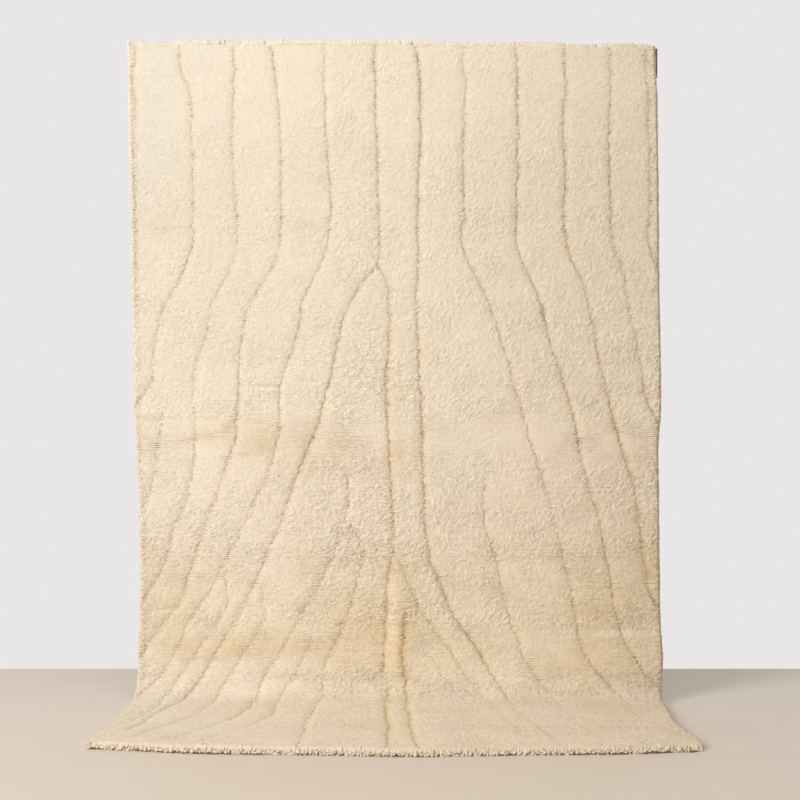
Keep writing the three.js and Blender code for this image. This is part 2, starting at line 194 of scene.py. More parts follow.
SIDE_LEFT = Table((
    (0, -1010), (110, -1005), (770, -991), (1380, -980), (1570, -973), (1750, -961), (2130, -957),
    (2360, -965), (2570, -972), (2880, -973), (3130, -997),
))
SIDE_RIGHT = Table((
    (0, 988), (120, 990), (220, 997), (770, 1001), (1380, 1009), (1570, 998), (1750, 1001),
    (2130, 1005), (2360, 1016), (2570, 1000), (2880, 986), (3130, 1010),
))
TOP_LIFTS = Table((
    (-1006, 13), (-950, 13), (-930, 6), (-840, 6), (-810, 13), (-560, 12), (60, 13), (110, 7), (640, 6),
    (750, 2), (810, 5), (920, 4), (994, 0),
))
RIPPLES = (Ripple(height=3, across=1320, along=4020), Ripple(height=2, across=600, along=-2070))
SWELLS = (
    Mound("middle_ridge", x=25, down=2240, across=48, along=230, height=13),
    Mound("left_belly", x=-560, down=1500, across=330, along=420, height=7),
    Mound("right_belly", x=520, down=1150, across=300, along=480, height=8),
    Mound("right_crease", x=860, down=2235, across=190, along=70, height=-6),
    Mound("left_hollow", x=-830, down=2080, across=160, along=260, height=-6),
    Mound("upper_hollow", x=-120, down=560, across=260, along=300, height=-5),
)
CREASES = (
    Mound("right_pinch", x=862, down=2236, across=170, along=13, height=-4.5, slant=0.02),
    Mound("right_roll", x=840, down=2262, across=200, along=20, height=2.5, slant=0.02),
    Mound("left_pinch", x=-862, down=2158, across=46, along=11, height=-5, slant=-0.15),
    Mound("upper_pinch", x=-482, down=1316, across=62, along=7, height=-6, slant=0.05),
    Mound("upper_fold", x=-300, down=1296, across=40, along=7, height=-5, slant=0.08),
    Mound("spine_roll", x=14, down=2250, across=22, along=190, height=2),
    Mound("low_roll", x=-60, down=2420, across=190, along=34, height=4, slant=0.1),
    Mound("left_roll", x=-560, down=2300, across=260, along=26, height=3, slant=-0.05),
)


@dataclass(frozen=True)
class ClothRun:
    """The way the cloth runs: over the rail, down, round onto the floor and forward along it."""

    rail_top: float
    rail_depth: float
    floor: float
    rail_ease: float = 3
    clearance: float = 2
    touch_gap: float = 0.3
    back_inset: float = 4
    floor_radius: float = 110
    front_middle: float = 3229
    front_bow: float = 72
    front_skew: float = 12
    front_wobble: float = 5
    wobble_turns: float = 9
    wobble_start: float = 1
    lift_fade: Pair = (70, 320)
    swell_grows: Pair = (150, 520)
    swell_off: float = 60

    @property
    def fold_radius(self) -> float:
        """The radius of the fold over the rail's front corner."""
        return self.rail_ease + self.clearance

    @property
    def lap(self) -> float:
        """The cloth's length on top of the rail."""
        return self.rail_depth - self.rail_ease - self.back_inset

    @property
    def hang_start(self) -> float:
        """The distance down at which the cloth hangs upright."""
        return self.lap + math.pi / 2 * self.fold_radius

    @property
    def hang_y(self) -> float:
        """Where the hanging cloth's back stands."""
        return -(self.rail_depth + self.clearance)

    @property
    def fold_top(self) -> float:
        """The height of the fold's centre."""
        return self.rail_top - self.rail_ease

    @property
    def bend_start(self) -> float:
        """The distance down at which the cloth starts to bend forward."""
        return self.hang_start + self.fold_top - self.floor - self.floor_radius

    @property
    def bend_end(self) -> float:
        """The distance down at which it lies on the floor."""
        return self.bend_start + math.pi / 2 * self.floor_radius

    def ground(self, down: Array) -> tuple[Array, Array, Array, Array]:
        """The ground weave's back in side view.

        Args:
            down: distances down the cloth.

        Returns:
            Its y and z, and the y and z of its outward direction.
        """
        turn = (down - self.lap) / self.fold_radius
        bend = (down - self.bend_start) / self.floor_radius
        rise = blended(self.touch_gap, self.clearance, down / self.lap)
        zones = [down < self.lap, down < self.hang_start, down < self.bend_start, down < self.bend_end]
        none, full = np.zeros_like(down), np.ones_like(down)
        ny = np.select(zones, [none, -np.sin(turn), -full, -np.cos(bend)], none)
        nz = np.select(zones, [full, np.cos(turn), none, np.sin(bend)], full)
        laid = self.hang_y - self.floor_radius - (down - self.bend_end)
        places = [
            (-self.back_inset - down, self.rail_top + rise),
            (self.hang_y + self.fold_radius * (1 + ny), self.fold_top + self.fold_radius * nz),
            (full * self.hang_y, self.fold_top - (down - self.hang_start)),
            (self.hang_y - self.floor_radius * (1 + ny), self.floor + self.floor_radius * (1 - nz)),
        ]
        y = np.select(zones, [place[0] for place in places], laid)
        z = np.select(zones, [place[1] for place in places], full * self.floor)
        return y, z, ny, nz

    def swell(self, x: Array, down: Array) -> Array:
        """How far the hanging cloth swells towards the room; nothing at the rail and on the floor.

        Args:
            x: how far across.
            down: how far down.

        Returns:
            The swell at each place.
        """
        hanging = 1 - eased(self.bend_start - self.swell_off, self.bend_end, down)
        free = eased(*self.swell_grows, down) * hanging
        waves = sum(ripple.at(x, down) for ripple in RIPPLES)
        mounds = sum(mound.at(x, down) for mound in (*SWELLS, *CREASES))
        return free * (waves + mounds)

    def place(self, x: Array, down: Array, height: Array) -> Array:
        """Points of the cloth.

        Args:
            x: how far across.
            down: how far down.
            height: distances out from the back of the ground weave.

        Returns:
            A row of x, y and z for each.
        """
        y, z, ny, nz = self.ground(down)
        out = height + self.swell(x, down)
        lift = eased(0, self.lap, down) * (1 - eased(*self.lift_fade, down)) * TOP_LIFTS.at(x)
        return np.stack([x, y + ny * out, z + nz * out + lift], axis=-1)

    def length_at(self, across: Array) -> Array:
        """The cloth's length at a share across it: bowed forward in the middle and a little uneven."""
        wobble = self.front_wobble * np.sin(self.wobble_turns * across + self.wobble_start)
        return self.front_middle - self.front_bow * across**2 + self.front_skew * across + wobble

    def share_across(self, x: Array, down: Array) -> Array:
        """The share across the cloth, from -1 at its left edge to 1 at its right."""
        left, right = SIDE_LEFT.at(down), SIDE_RIGHT.at(down)
        return 2 * (x - left) / (right - left) - 1

    def from_flat(self, flat: Array) -> tuple[Array, Array]:
        """Places on the cloth from places in the flat rectangle that it is laid out in.

        Args:
            flat: rows of a share across in thousandths and a distance down at full length.

        Returns:
            The places across the cloth and down it.
        """
        across = flat[:, 0] / HALF_WIDTH
        laid = np.maximum(flat[:, 1] - self.bend_end, 0) / (self.front_middle - self.bend_end)
        down = np.minimum(flat[:, 1], self.bend_end) + laid * (self.length_at(across) - self.bend_end)
        left, right = SIDE_LEFT.at(down), SIDE_RIGHT.at(down)
        return blended(left, right, (across + 1) / 2), down

    def to_flat(self, x: Array, down: Array) -> Array:
        """Places in the flat rectangle from places on the cloth.

        Args:
            x: how far across.
            down: how far down.

        Returns:
            A row of across and down for each.
        """
        across = self.share_across(x, down)
        laid = np.maximum(down - self.bend_end, 0) / (self.length_at(across) - self.bend_end)
        flat_down = np.minimum(down, self.bend_end) + laid * (self.front_middle - self.bend_end)
        return np.stack([across * HALF_WIDTH, flat_down], axis=-1)

    def edge_gap(self, x: Array, down: Array) -> Array:
        """How far each place lies in from the nearest of the two sides and the front edge."""
        length = self.length_at(self.share_across(x, down))
        return np.minimum(np.minimum(x - SIDE_LEFT.at(down), SIDE_RIGHT.at(down) - x), length - down)


@dataclass(frozen=True)
class CarvedLine:
    """A line carved into the pile, a smooth run through its places of x and distance down."""

    name: str
    places: tuple[Pair, ...]
    depth: float = 1.0
    warmth: float = 0.0
    parting: float = 1.0


CARVED_LINES = (
    CarvedLine("left_rim", depth=0.5, warmth=0.15, parting=1.5, places=(
        (-980, 50), (-978, 500), (-966, 1000),
    )),
    CarvedLine("left_one", depth=0.9, places=(
        (-805, 50), (-795, 150), (-775, 205), (-765, 330), (-765, 800), (-865, 1025), (-900, 1180),
        (-915, 1300), (-975, 1390),
    )),
    CarvedLine("left_one_low", ((-875, 1415), (-890, 1560), (-915, 1715), (-965, 1810)), depth=0.7),
    CarvedLine("left_two", depth=0.8, places=(
        (-605, 50), (-605, 460), (-600, 820), (-680, 1000), (-705, 1120), (-750, 1265), (-745, 1480),
        (-760, 1640), (-830, 1850), (-870, 2000), (-960, 2145),
    )),
    CarvedLine("left_three", depth=0.9, places=(
        (-460, 50), (-445, 150), (-440, 820), (-520, 960), (-570, 1120), (-600, 1510), (-745, 1940),
        (-795, 2095), (-890, 2240), (-955, 2325),
    )),
    CarvedLine("left_four", depth=0.85, places=(
        (-265, 50), (-250, 400), (-250, 800), (-345, 1000), (-370, 1130), (-425, 1300), (-435, 1500),
        (-510, 1725), (-640, 1985), (-770, 2205), (-860, 2380), (-960, 2505),
    )),
    CarvedLine("left_four_low", depth=0.8, places=(
        (-640, 1990), (-632, 2130), (-770, 2360), (-855, 2520), (-880, 2750), (-930, 2900),
    )),
    CarvedLine("left_five", depth=1.1, places=(
        (-70, 50), (-63, 420), (-63, 850), (-130, 940), (-190, 1070), (-205, 1150), (-268, 1400),
        (-500, 2010), (-570, 2160), (-765, 2490), (-900, 2970),
    )),
    CarvedLine("left_five_low", depth=0.75, places=(
        (-495, 2080), (-488, 2180), (-590, 2360), (-660, 2500), (-700, 2760), (-900, 3128),
    )),
    CarvedLine("spine_left", warmth=0.35, places=(
        (-63, 850), (-22, 950), (-24, 1400), (-2, 1930), (-24, 2060), (-35, 2390),
    )),
    CarvedLine("left_six", depth=0.85, places=(
        (-170, 1660), (-172, 1790), (-275, 2045), (-405, 2285), (-500, 2450), (-545, 2780),
        (-748, 3118),
    )),
    CarvedLine("left_seven", depth=0.85, places=(
        (-160, 1840), (-120, 1930), (-185, 2210), (-262, 2370), (-270, 2520), (-300, 2870),
        (-305, 3220),
    )),
    CarvedLine("left_seven_low", depth=0.7, places=(
        (-308, 2280), (-375, 2405), (-425, 2520), (-435, 2790), (-650, 3160),
    )),
    CarvedLine("spine_foot", ((-25, 2470), (-28, 2640), (-10, 3220)), warmth=0.6),
    CarvedLine("spine_split", warmth=0.55, places=(
        (45, 2170), (30, 2330), (50, 2500), (52, 2750), (80, 3220),
    )),
    CarvedLine("spine_right", depth=1.25, warmth=0.2, places=(
        (92, 50), (100, 240), (90, 900), (112, 1600), (125, 1920), (180, 2080), (300, 2290),
        (420, 2500), (450, 2720), (555, 3200),
    )),
    CarvedLine("right_one", depth=0.85, places=(
        (342, 1670), (345, 1830), (390, 1975), (410, 2090), (480, 2310), (595, 2520), (630, 2850),
        (690, 3040),
    )),
    CarvedLine("right_two", places=(
        (268, 50), (266, 600), (262, 800), (330, 930), (385, 1070), (415, 1170), (470, 1370),
        (520, 1520), (640, 1950), (685, 2190), (715, 2310), (850, 2520), (870, 2800), (975, 3080),
    )),
    CarvedLine("right_three", depth=1.2, places=(
        (468, 50), (470, 600), (466, 800), (550, 985), (590, 1130), (645, 1315), (695, 1510),
        (780, 1860), (875, 2290), (990, 2465),
    )),
    CarvedLine("right_four", warmth=0.3, places=(
        (650, 50), (658, 800), (700, 890), (750, 1075), (765, 1170), (860, 1560), (910, 1725),
        (928, 1850), (955, 2010), (967, 2115), (1015, 2175),
    )),
    CarvedLine("right_five", places=(
        (815, 50), (833, 780), (873, 900), (900, 1080), (935, 1260), (950, 1350), (1010, 1465),
    )),
    CarvedLine("right_rim", depth=0.8, warmth=0.25, parting=1.4, places=(
        (950, 50), (972, 585), (967, 800), (1015, 890),
    )),
    CarvedLine("middle_low", depth=0.6, warmth=0.2, places=(
        (20, 1970), (75, 2100), (170, 2255), (330, 2520), (395, 2840), (430, 3070),
    )),
    CarvedLine("middle_faint", ((105, 2285), (185, 2420), (265, 2570), (365, 3010)), depth=0.4),
    CarvedLine("front_seam", ((-900, 3106), (-560, 3148), (-180, 3174), (120, 3176)), depth=0.35),
)


@dataclass(frozen=True)
class LineWalk:
    """The walk along a carved line, with the sidesteps that follow the knots."""

    step: float = 2.5
    jog: float = 2.6
    jog_lengths: Pair = (40, 120)
    jog_start: float = 0.6
    drift: float = 2.5
    drift_length: float = 530
    drift_phase: float = 1.7
    phase: float = 2.399
    rag: float = 2.0
    rag_pitch: float = 8.6
    rag_start: float = 0.6
    spare_knots: int = 3
    samples: int = 60

    @staticmethod
    def _segment(places: Array, share: Array) -> Array:
        """Points on the smooth curve between the middle two of four places.

        Args:
            places: rows of x and down.
            share: how far between the two each point lies, from 0 to 1.

        Returns:
            Rows of x and down.
        """
        p0, p1, p2, p3 = places
        gaps = [float(np.hypot(*(b - a))) ** 0.5 for a, b in ((p0, p1), (p1, p2), (p2, p3))]
        start = (p1 - p0) / gaps[0] - (p2 - p0) / (gaps[0] + gaps[1]) + (p2 - p1) / gaps[1]
        end = (p2 - p1) / gaps[1] - (p3 - p1) / (gaps[1] + gaps[2]) + (p3 - p2) / gaps[2]
        start, end = start * gaps[1], end * gaps[1]
        t = share[:, None]
        bend = -3 * p1 + 3 * p2 - 2 * start - end
        twist = 2 * p1 - 2 * p2 + start + end
        return p1 + start * t + bend * t**2 + twist * t**3

    def _curve(self, places: Array) -> Array:
        """Closely spaced points on the smooth curve through the places.

        Args:
            places: rows of x and down.

        Returns:
            Rows of x and down.
        """
        before, after = 2 * places[0] - places[1], 2 * places[-1] - places[-2]
        padded = np.vstack([before, places, after])
        share = np.arange(self.samples) / self.samples
        runs = [self._segment(padded[k : k + 4], share) for k in range(len(places) - 1)]
        return np.vstack([*runs, places[-1:]])

    def _jogs(self, along: Array, rng: Rng) -> Array:
        """Sidesteps at uneven distances along a line.

        Args:
            along: distances along the line, from its start.
            rng: the source of the sidesteps.

        Returns:
            How far aside the line has stepped at each distance.
        """
        count = int(along[-1] / self.jog_lengths[0]) + 2
        stops = np.concatenate([[0], np.cumsum(rng.uniform(*self.jog_lengths, count))])
        shifts = rng.normal(0, self.jog, count + 1)
        at = np.searchsorted(stops, along, side="right") - 1
        share = (along - stops[at]) / (stops[at + 1] - stops[at])
        return blended(shifts[at], shifts[at + 1], eased(self.jog_start, 1, share))

    def stations(self, line: CarvedLine, number: int) -> Array:
        """Places along a line after its sidesteps.

        Args:
            line: the line.
            number: its place in the table, which sets where its jogs fall.

        Returns:
            Rows of x, down, and the x and down of the direction beside the line.
        """
        curve = self._curve(np.array(line.places, float))
        reach = np.concatenate([[0], np.cumsum(np.hypot(*np.diff(curve, axis=0).T))])
        along = np.append(np.arange(0, reach[-1], self.step), reach[-1])
        x, down = (np.interp(along, reach, curve[:, axis]) for axis in (0, 1))
        tangent = np.gradient(np.stack([x, down], axis=-1), axis=0)
        tangent /= np.linalg.norm(tangent, axis=1, keepdims=True)
        side = np.stack([tangent[:, 1], -tangent[:, 0]], axis=-1)
        rng = np.random.default_rng(number)
        drift = np.sin(FULL_TURN * along / self.drift_length + number * self.phase * self.drift_phase)
        knots = rng.normal(0, self.rag, int(reach[-1] / self.rag_pitch) + self.spare_knots)
        row = np.floor(along / self.rag_pitch).astype(int)
        rag = blended(knots[row], knots[row + 1], eased(self.rag_start, 1, along / self.rag_pitch - row))
        shift = self._jogs(along, rng) + self.drift * drift + rag
        return np.column_stack([x + side[:, 0] * shift, down + side[:, 1] * shift, side])


class CarveField:
    """How far each place of the cloth lies from its nearest carved line, kept on a fine grid."""

    CELL = 2.0
    REACH = 46.0
    LEFT = -1060.0
    COLUMNS = 1060
    ROWS = 1660
    OF_LINE = ("depth", "warmth", "parting")

    def __init__(self, lines: Sequence[CarvedLine], walk: LineWalk) -> None:
        """Stamps every line's stations into the grid.

        Args:
            lines: the carved lines.
            walk: how each is walked.
        """
        shape = (self.ROWS, self.COLUMNS)
        self.grids = {name: np.zeros(shape) for name in self.OF_LINE}
        self.gap = np.full(shape, self.REACH)
        self.walks = [walk.stations(line, number) for number, line in enumerate(lines)]
        for line, stations in zip(lines, self.walks):
            for x, down in stations[:, :2]:
                self._stamp(x, down, line)
        self.grids["gap"] = self.gap

    def _stamp(self, x: float, down: float, line: CarvedLine) -> None:
        """Gives the grid's cells round a station its gap, where no other line lies nearer.

        Args:
            x: the station's place across the cloth.
            down: its place down the cloth.
            line: the line that it belongs to.
        """
        reach = int(self.REACH / self.CELL)
        column, row = int((x - self.LEFT) / self.CELL), int(down / self.CELL)
        rows = slice(max(row - reach, 0), min(row + reach + 1, self.ROWS))
        columns = slice(max(column - reach, 0), min(column + reach + 1, self.COLUMNS))
        below = np.arange(rows.start, rows.stop)[:, None] * self.CELL - down
        beside = np.arange(columns.start, columns.stop)[None, :] * self.CELL + self.LEFT - x
        gap = np.hypot(below, beside)
        nearer = gap < self.gap[rows, columns]
        self.gap[rows, columns][nearer] = gap[nearer]
        for name in self.OF_LINE:
            self.grids[name][rows, columns][nearer] = getattr(line, name)

    def read(self, name: str, x: Array, down: Array) -> Array:
        """A grid's value at places of the cloth, run straight between its cells.

        Args:
            name: one of the field's grids: gap, depth, warmth or parting.
            x: how far across.
            down: how far down.

        Returns:
            The value at each place.
        """
        u = np.clip((x - self.LEFT) / self.CELL, 0, self.COLUMNS - 2)
        v = np.clip(down / self.CELL, 0, self.ROWS - 2)
        column, row = u.astype(int), v.astype(int)
        grid = self.grids[name]
        upper = blended(grid[row, column], grid[row, column + 1], u - column)
        lower = blended(grid[row + 1, column], grid[row + 1, column + 1], u - column)
        return blended(upper, lower, v - row)


@dataclass(frozen=True)
class Patch:
    """A warmer patch of wool, from another lot of yarn or a faint stain."""

    name: str
    x: float
    down: float
    across: float
    along: float
    warmth: float


PATCHES = (
    Patch("left_band", x=-640, down=1490, across=300, along=42, warmth=0.20),
    Patch("left_band_low", x=-520, down=1540, across=80, along=34, warmth=0.30),
    Patch("left_band_mid", x=-352, down=1520, across=62, along=32, warmth=0.32),
    Patch("left_band_spot", x=-325, down=1443, across=34, along=24, warmth=0.28),
    Patch("under_band", x=-240, down=1590, across=210, along=70, warmth=0.20),
    Patch("spine_spot", x=26, down=1360, across=14, along=34, warmth=0.35),
    Patch("spine_patch", x=18, down=1560, across=34, along=90, warmth=0.35),
    Patch("low_band", x=-560, down=2292, across=360, along=44, warmth=0.34),
    Patch("low_left", x=-850, down=2120, across=150, along=190, warmth=0.24),
    Patch("low_middle", x=-160, down=2250, across=150, along=190, warmth=0.20),
    Patch("spine_low", x=10, down=2230, across=70, along=240, warmth=0.25),
    Patch("upper_left", x=-862, down=724, across=64, along=22, warmth=0.25),
    Patch("upper_middle", x=-315, down=706, across=44, along=22, warmth=0.22),
    Patch("right_low", x=900, down=2150, across=260, along=360, warmth=0.2),
    Patch("front_left", x=-820, down=3060, across=160, along=60, warmth=0.15),
)


@dataclass(frozen=True)
class Carving:
    """How the pile is carved along the lines: a soft valley, a slit down its middle and parted knots."""

    run: ClothRun
    field: CarveField
    sharpness: Table = Table(
        ((0, 1.15), (1400, 1.15), (2000, 0.95), (2380, 0.9), (2560, 1.3), (2900, 1.6), (3200, 1.3))
    )
    floor_fade: float = 0.75
    floor_fade_reach: Pair = (-250, 450)
    valley_reach: float = 34
    valley_bend: float = 1.8
    valley_fading: float = 0.3
    slit_reach: Pair = (0.2, 4.2)
    slit_strength: float = 0.75
    slit_breaking: float = 0.5
    slit_fading: float = 0.35
    slit_range: Pair = (0.1, 1.3)
    parting_reach: float = 15
    parting_strength: float = 0.9
    parting_breaking: float = 0.6
    broken: Drift = Drift(seed=16, across=19, along=17)
    faded: Drift = Drift(seed=17, across=260, along=210)

    def at(self, x: Array, down: Array) -> tuple[Array, Array, Array]:
        """How deep the pile is carved.

        Args:
            x: how far across.
            down: how far down.

        Returns:
            The share of the valley beside the lines, of their slit, and of the parted knots next to it.
        """
        gap = self.field.read("gap", x, down)
        laid = eased(self.run.bend_start, self.run.bend_end, down)
        fading = 1 - self.floor_fade * laid * eased(*self.floor_fade_reach, x)
        depth = self.field.read("depth", x, down) * self.sharpness.at(down) * fading
        faded, broken = self.faded.at(x, down), self.broken.at(x, down)
        valley = np.clip(1 - gap / self.valley_reach, 0, 1) ** self.valley_bend
        strength = self.slit_strength + self.slit_breaking * broken + self.slit_fading * faded
        slit = np.clip(strength, *self.slit_range) * (1 - eased(*self.slit_reach, gap))
        beside = 1 - eased(self.slit_reach[1], self.parting_reach, gap)
        parted = self.field.read("parting", x, down) * beside
        ragged = self.parting_strength + self.parting_breaking * self.broken.at(down, x)
        return depth * valley * (1 + self.valley_fading * faded), depth * slit, depth * parted * ragged


@dataclass(frozen=True)
class WoolWarmth:
    """How warm the wool's colour is: its lots of yarn, its soft patches, and tan roots along some lines."""

    carving: Carving
    rows: Table = Table((
        (0, 0.0), (1200, 0.07), (1800, 0.14), (2100, 0.19), (2350, 0.17), (2450, 0.2), (2570, 0.37),
        (3200, 0.41),
    ))
    slope: float = 0.12
    clouds: Drift = Drift(seed=12, across=120, along=80)
    cloudiness: float = 0.2
    lots: Drift = Drift(seed=18, across=75, along=4.8)
    lot_share: float = 0.22
    tan_reach: Pair = (2, 15)
    tan_share: float = 0.55
    tan_clouding: float = 0.5

    def at(self, x: Array, down: Array) -> Array:
        """How warm the wool is, from 0 to 1, away from the lines.

        Args:
            x: how far across.
            down: how far down.

        Returns:
            The warmth at each place.
        """
        warm = self.rows.at(down) + self.slope * (x + HALF_WIDTH) / HALF_WIDTH
        for patch in PATCHES:
            far = ((x - patch.x) / patch.across) ** 2 + ((down - patch.down) / patch.along) ** 2
            warm = warm + patch.warmth * np.exp(-far)
        uneven = 1 + self.cloudiness * self.clouds.at(x, down) + self.lot_share * self.lots.at(x, down)
        return np.clip(warm * uneven, 0, 1)

    def tan(self, x: Array, down: Array) -> Array:
        """The warmth of the roots that show in and beside the tan lines.

        Args:
            x: how far across.
            down: how far down.

        Returns:
            The warmth at each place.
        """
        gap = self.carving.field.read("gap", x, down)
        cloudy = 1 + self.tan_clouding * self.clouds.at(x, down)
        wide = self.tan_share * (1 - eased(*self.tan_reach, gap)) * cloudy
        core = (1 - self.tan_share) * (1 - eased(*self.carving.slit_reach, gap))
        return self.carving.field.read("warmth", x, down) * (wide + core)


@dataclass(frozen=True)
class WoolTexture:
    """How the wool lies in the pile: ruffled locks with streaks and grain, and rows of knots."""

    roughness: Table = Table((
        (0, 0.5), (800, 0.8), (1250, 1.0), (1600, 1.1), (2050, 1.45), (2400, 1.6), (2600, 1.05),
        (3200, 0.85),
    ))
    side_roughness: Table = Table(
        ((-1000, 0.9), (-350, 1.0), (-180, 1.4), (150, 1.4), (500, 1.25), (1000, 1.45))
    )
    row_lines: Table = Table((
        (0, 0.2), (1250, 0.5), (1420, 1.0), (1470, 2.3), (1550, 2.3), (1620, 1.0), (1900, 1.1),
        (1990, 1.8), (2110, 1.8), (2200, 1.4), (2260, 2.4), (2320, 2.4), (2420, 1.5), (2580, 0.5),
        (3200, 0.3),
    ))
    calm_rows: Pair = (1.1, 2.3)
    calm_share: float = 0.5
    patchy: Drift = Drift(seed=13, across=90, along=60)
    patchy_ruffle: float = 0.4
    patchy_rows: float = 0.45
    strip_reach: Pair = (14, 36.4)
    strip_ruffle: float = 0.6
    strip_rows: float = 1.1
    parting_rows: float = 2.2
    knots: Drift = Drift(seed=10, across=8.6, along=8.4)
    grain: Drift = Drift(seed=19, across=4.3, along=4.2)
    level_streaks: Drift = Drift(seed=14, across=10.5, along=4.7)
    slant_streaks: Drift = Drift(seed=15, across=10.5, along=4.9, slant=0.75)
    slant_starts: Pair = (-60, 220)
    slant_ends: Pair = (1350, 1800)
    slant_loss: float = 0.7

    def strip(self, x: Array, down: Array) -> Array:
        """The share of the coarser strip along the cloth's two sides."""
        inward = np.minimum(x - SIDE_LEFT.at(down), SIDE_RIGHT.at(down) - x)
        return 1 - eased(*self.strip_reach, inward)

    def ruffle(self, x: Array, down: Array) -> Array:
        """How ruffled the pile is: calm at the top and on the floor, most above the bend.

        Args:
            x: how far across.
            down: how far down.

        Returns:
            The ruffle at each place.
        """
        calm = 1 - self.calm_share * eased(*self.calm_rows, self.row_lines.at(down))
        rough = self.roughness.at(down) * self.side_roughness.at(x) * calm
        patchy = 1 + self.patchy_ruffle * self.patchy.at(x, down)
        return rough * patchy + self.strip_ruffle * self.strip(x, down)

    def rowing(self, x: Array, down: Array, parted: Array) -> Array:
        """How strongly the rows of knots show, more along the two sides and where the knots are parted."""
        rowing = self.row_lines.at(down) * (1 + self.patchy_rows * self.patchy.at(down, x))
        return rowing + self.strip_rows * self.strip(x, down) + self.parting_rows * parted

    def streaks(self, x: Array, down: Array) -> Array:
        """The streaks that the locks draw, level at the left and slanted at the upper right."""
        slanted = eased(*self.slant_starts, x) * (1 - self.slant_loss * eased(*self.slant_ends, down))
        return blended(self.level_streaks.at(x, down), self.slant_streaks.at(x, down), slanted)


@dataclass(frozen=True)
class PileRelief:
    """The face of the pile: its height, its carving, its rows of knots and its warmth."""

    run: ClothRun
    carving: Carving
    warmth: WoolWarmth
    notches: tuple[float, ...] = ()
    texture: WoolTexture = WoolTexture()
    notch_width: float = 4.2
    notch_reach: Pair = (0, 7)
    notch_height: float = 8
    band_thick: float = 5
    band_end: float = 24
    pile_start: float = 31
    weave_height: float = 10
    pile_height: float = 24
    rim_height: float = 12
    rim_width: float = 11
    rim_roughness: float = 0.4
    front_rim: float = 5
    front_rims: Pair = (2950, 3120)
    top_rises: Table = Table((
        (-1000, 2), (-889, 5), (-791, 7), (-700, 9.5), (-640, 8), (-595, 3), (-555, 9), (0, 8), (92, 9),
        (190, 6.5), (288, 5), (386, 8), (580, 7), (680, 1), (780, 0), (877, 4), (940, 2), (985, -4),
    ))
    top_rise_reach: float = 22
    top_line_down: float = 7
    top_line_reach: float = 3.6
    top_shade: float = 0.5
    valley: Table = Table(((0, 2.2), (1300, 2.6), (1900, 4.2), (2600, 4.4), (3200, 3.0)))
    slit: float = 1.5
    stitch: float = 0.8
    row_pitch: float = 8.4
    knot_pitch: float = 8.6
    row_rise: float = 0.46
    # How much the knots, the streaks and the grain count for in the height, and in the colour as painted
    # shade where they lie low.
    rises: tuple[float, ...] = (0.6, 0.8, 1.3)
    relief_shades: tuple[float, ...] = (0.35, 0.35, 0.4)
    streak_shade: float = 0.19
    lumps: Drift = Drift(seed=11, across=58, along=40)
    lump_rise: float = 0.6
    # Painted light and shade along the cloth: a little darker near the top, brighter lower down.
    tones: Table = Table((
        (31, -0.4), (500, -0.4), (1000, 0.0), (1600, 0.6), (2000, 0.7), (2400, 0.9), (2560, 0.5),
        (3200, 0.4),
    ))
    # Painted shade towards both sides.
    side_painted_shade: float = 0.7
    full_strand: float = 0.5
    full_rise: float = 0.95
    slit_low: float = 0.3
    valley_shade: float = 0.25
    row_light: float = 0.05

    def rim(self, x: Array, down: Array) -> Array:
        """How far the pile has risen in from the cloth's edges, from 0 to 1.

        Args:
            x: how far across.
            down: how far down.

        Returns:
            The share at each place.
        """
        inward = np.minimum(self.run.edge_gap(x, down), down - self.pile_start)
        share = np.clip(inward / self.rim_width, 0, 1)
        return np.sqrt(share * (2 - share))

    def face(self, x: Array, down: Array, rows: Array) -> tuple[Array, dict[str, Array]]:
        """The face of the pile.

        Args:
            x: how far across.
            down: how far down.
            rows: how high each place lies on its row of knots, from -1 to 1.

        Returns:
            Its height over the back of the ground weave, and the values that colour it.
        """
        valley, slit, parted = self.carving.at(x, down)
        slit = np.maximum(slit, self._top_line(x, down))
        rowing = self.texture.rowing(x, down, parted)
        ruffle = self.texture.ruffle(x, down)
        streaks = self.texture.streaks(x, down)
        wool = (self.texture.knots.at(x, down), streaks, self.texture.grain.at(x, down))
        uneven, relief_shade = (sum(map(mul, wool, shares)) for shares in (self.rises, self.relief_shades))
        rough = ruffle * uneven + self.row_rise * rowing * rows
        rim = self.rim(x, down)
        inner = self.pile_height + self.lump_rise * self.lumps.at(x, down)
        full = blended(self._rim_height(x, down), inner, rim)
        height = full + rough * blended(self.rim_roughness, 1, rim) - self.valley.at(down) * valley
        height = blended(height, self.notch_height, self._notched(x, down))
        # Painted light and shade: darker near the top and towards both sides, brighter lower down.
        tone = self.tones.at(down) - self.side_painted_shade * (x / HALF_WIDTH) ** 2
        # Towards the roots' tan in the slits, where the roots show; painted shade in the valleys beside the
        # lines and in the troughs between rows, painted light on the rows' crests.
        sunk = self.full_rise - self.slit_low * slit - self.valley_shade * valley
        values = {
            "ruffle": ruffle,
            "rowing": rowing,
            "crest": rows,
            # Painted shade in the low troughs of the streaks, on top of the slits' tan.
            "slit": slit + self.streak_shade * ruffle * np.clip(-streaks, 0, 1),
            "rise": np.clip(sunk + self.row_light * rows * rowing, 0, 1),
            # Painted shade where the knots, streaks and grain lie low.
            "strand": self.full_strand + tone + ruffle * relief_shade,
            "warmth": np.clip(self.warmth.at(x, down) + self.warmth.tan(x, down), 0, 1),
        }
        return height - self.slit * slit * (1 - self.stitch * rows), values

    def _rim_height(self, x: Array, down: Array) -> Array:
        """The pile's height at its rim: fuller along the upper edge and at the front."""
        top = 1 - eased(self.pile_start, self.pile_start + self.top_rise_reach, down)
        return self.rim_height + top * self.top_rises.at(x) + self.front_rim * eased(*self.front_rims, down)

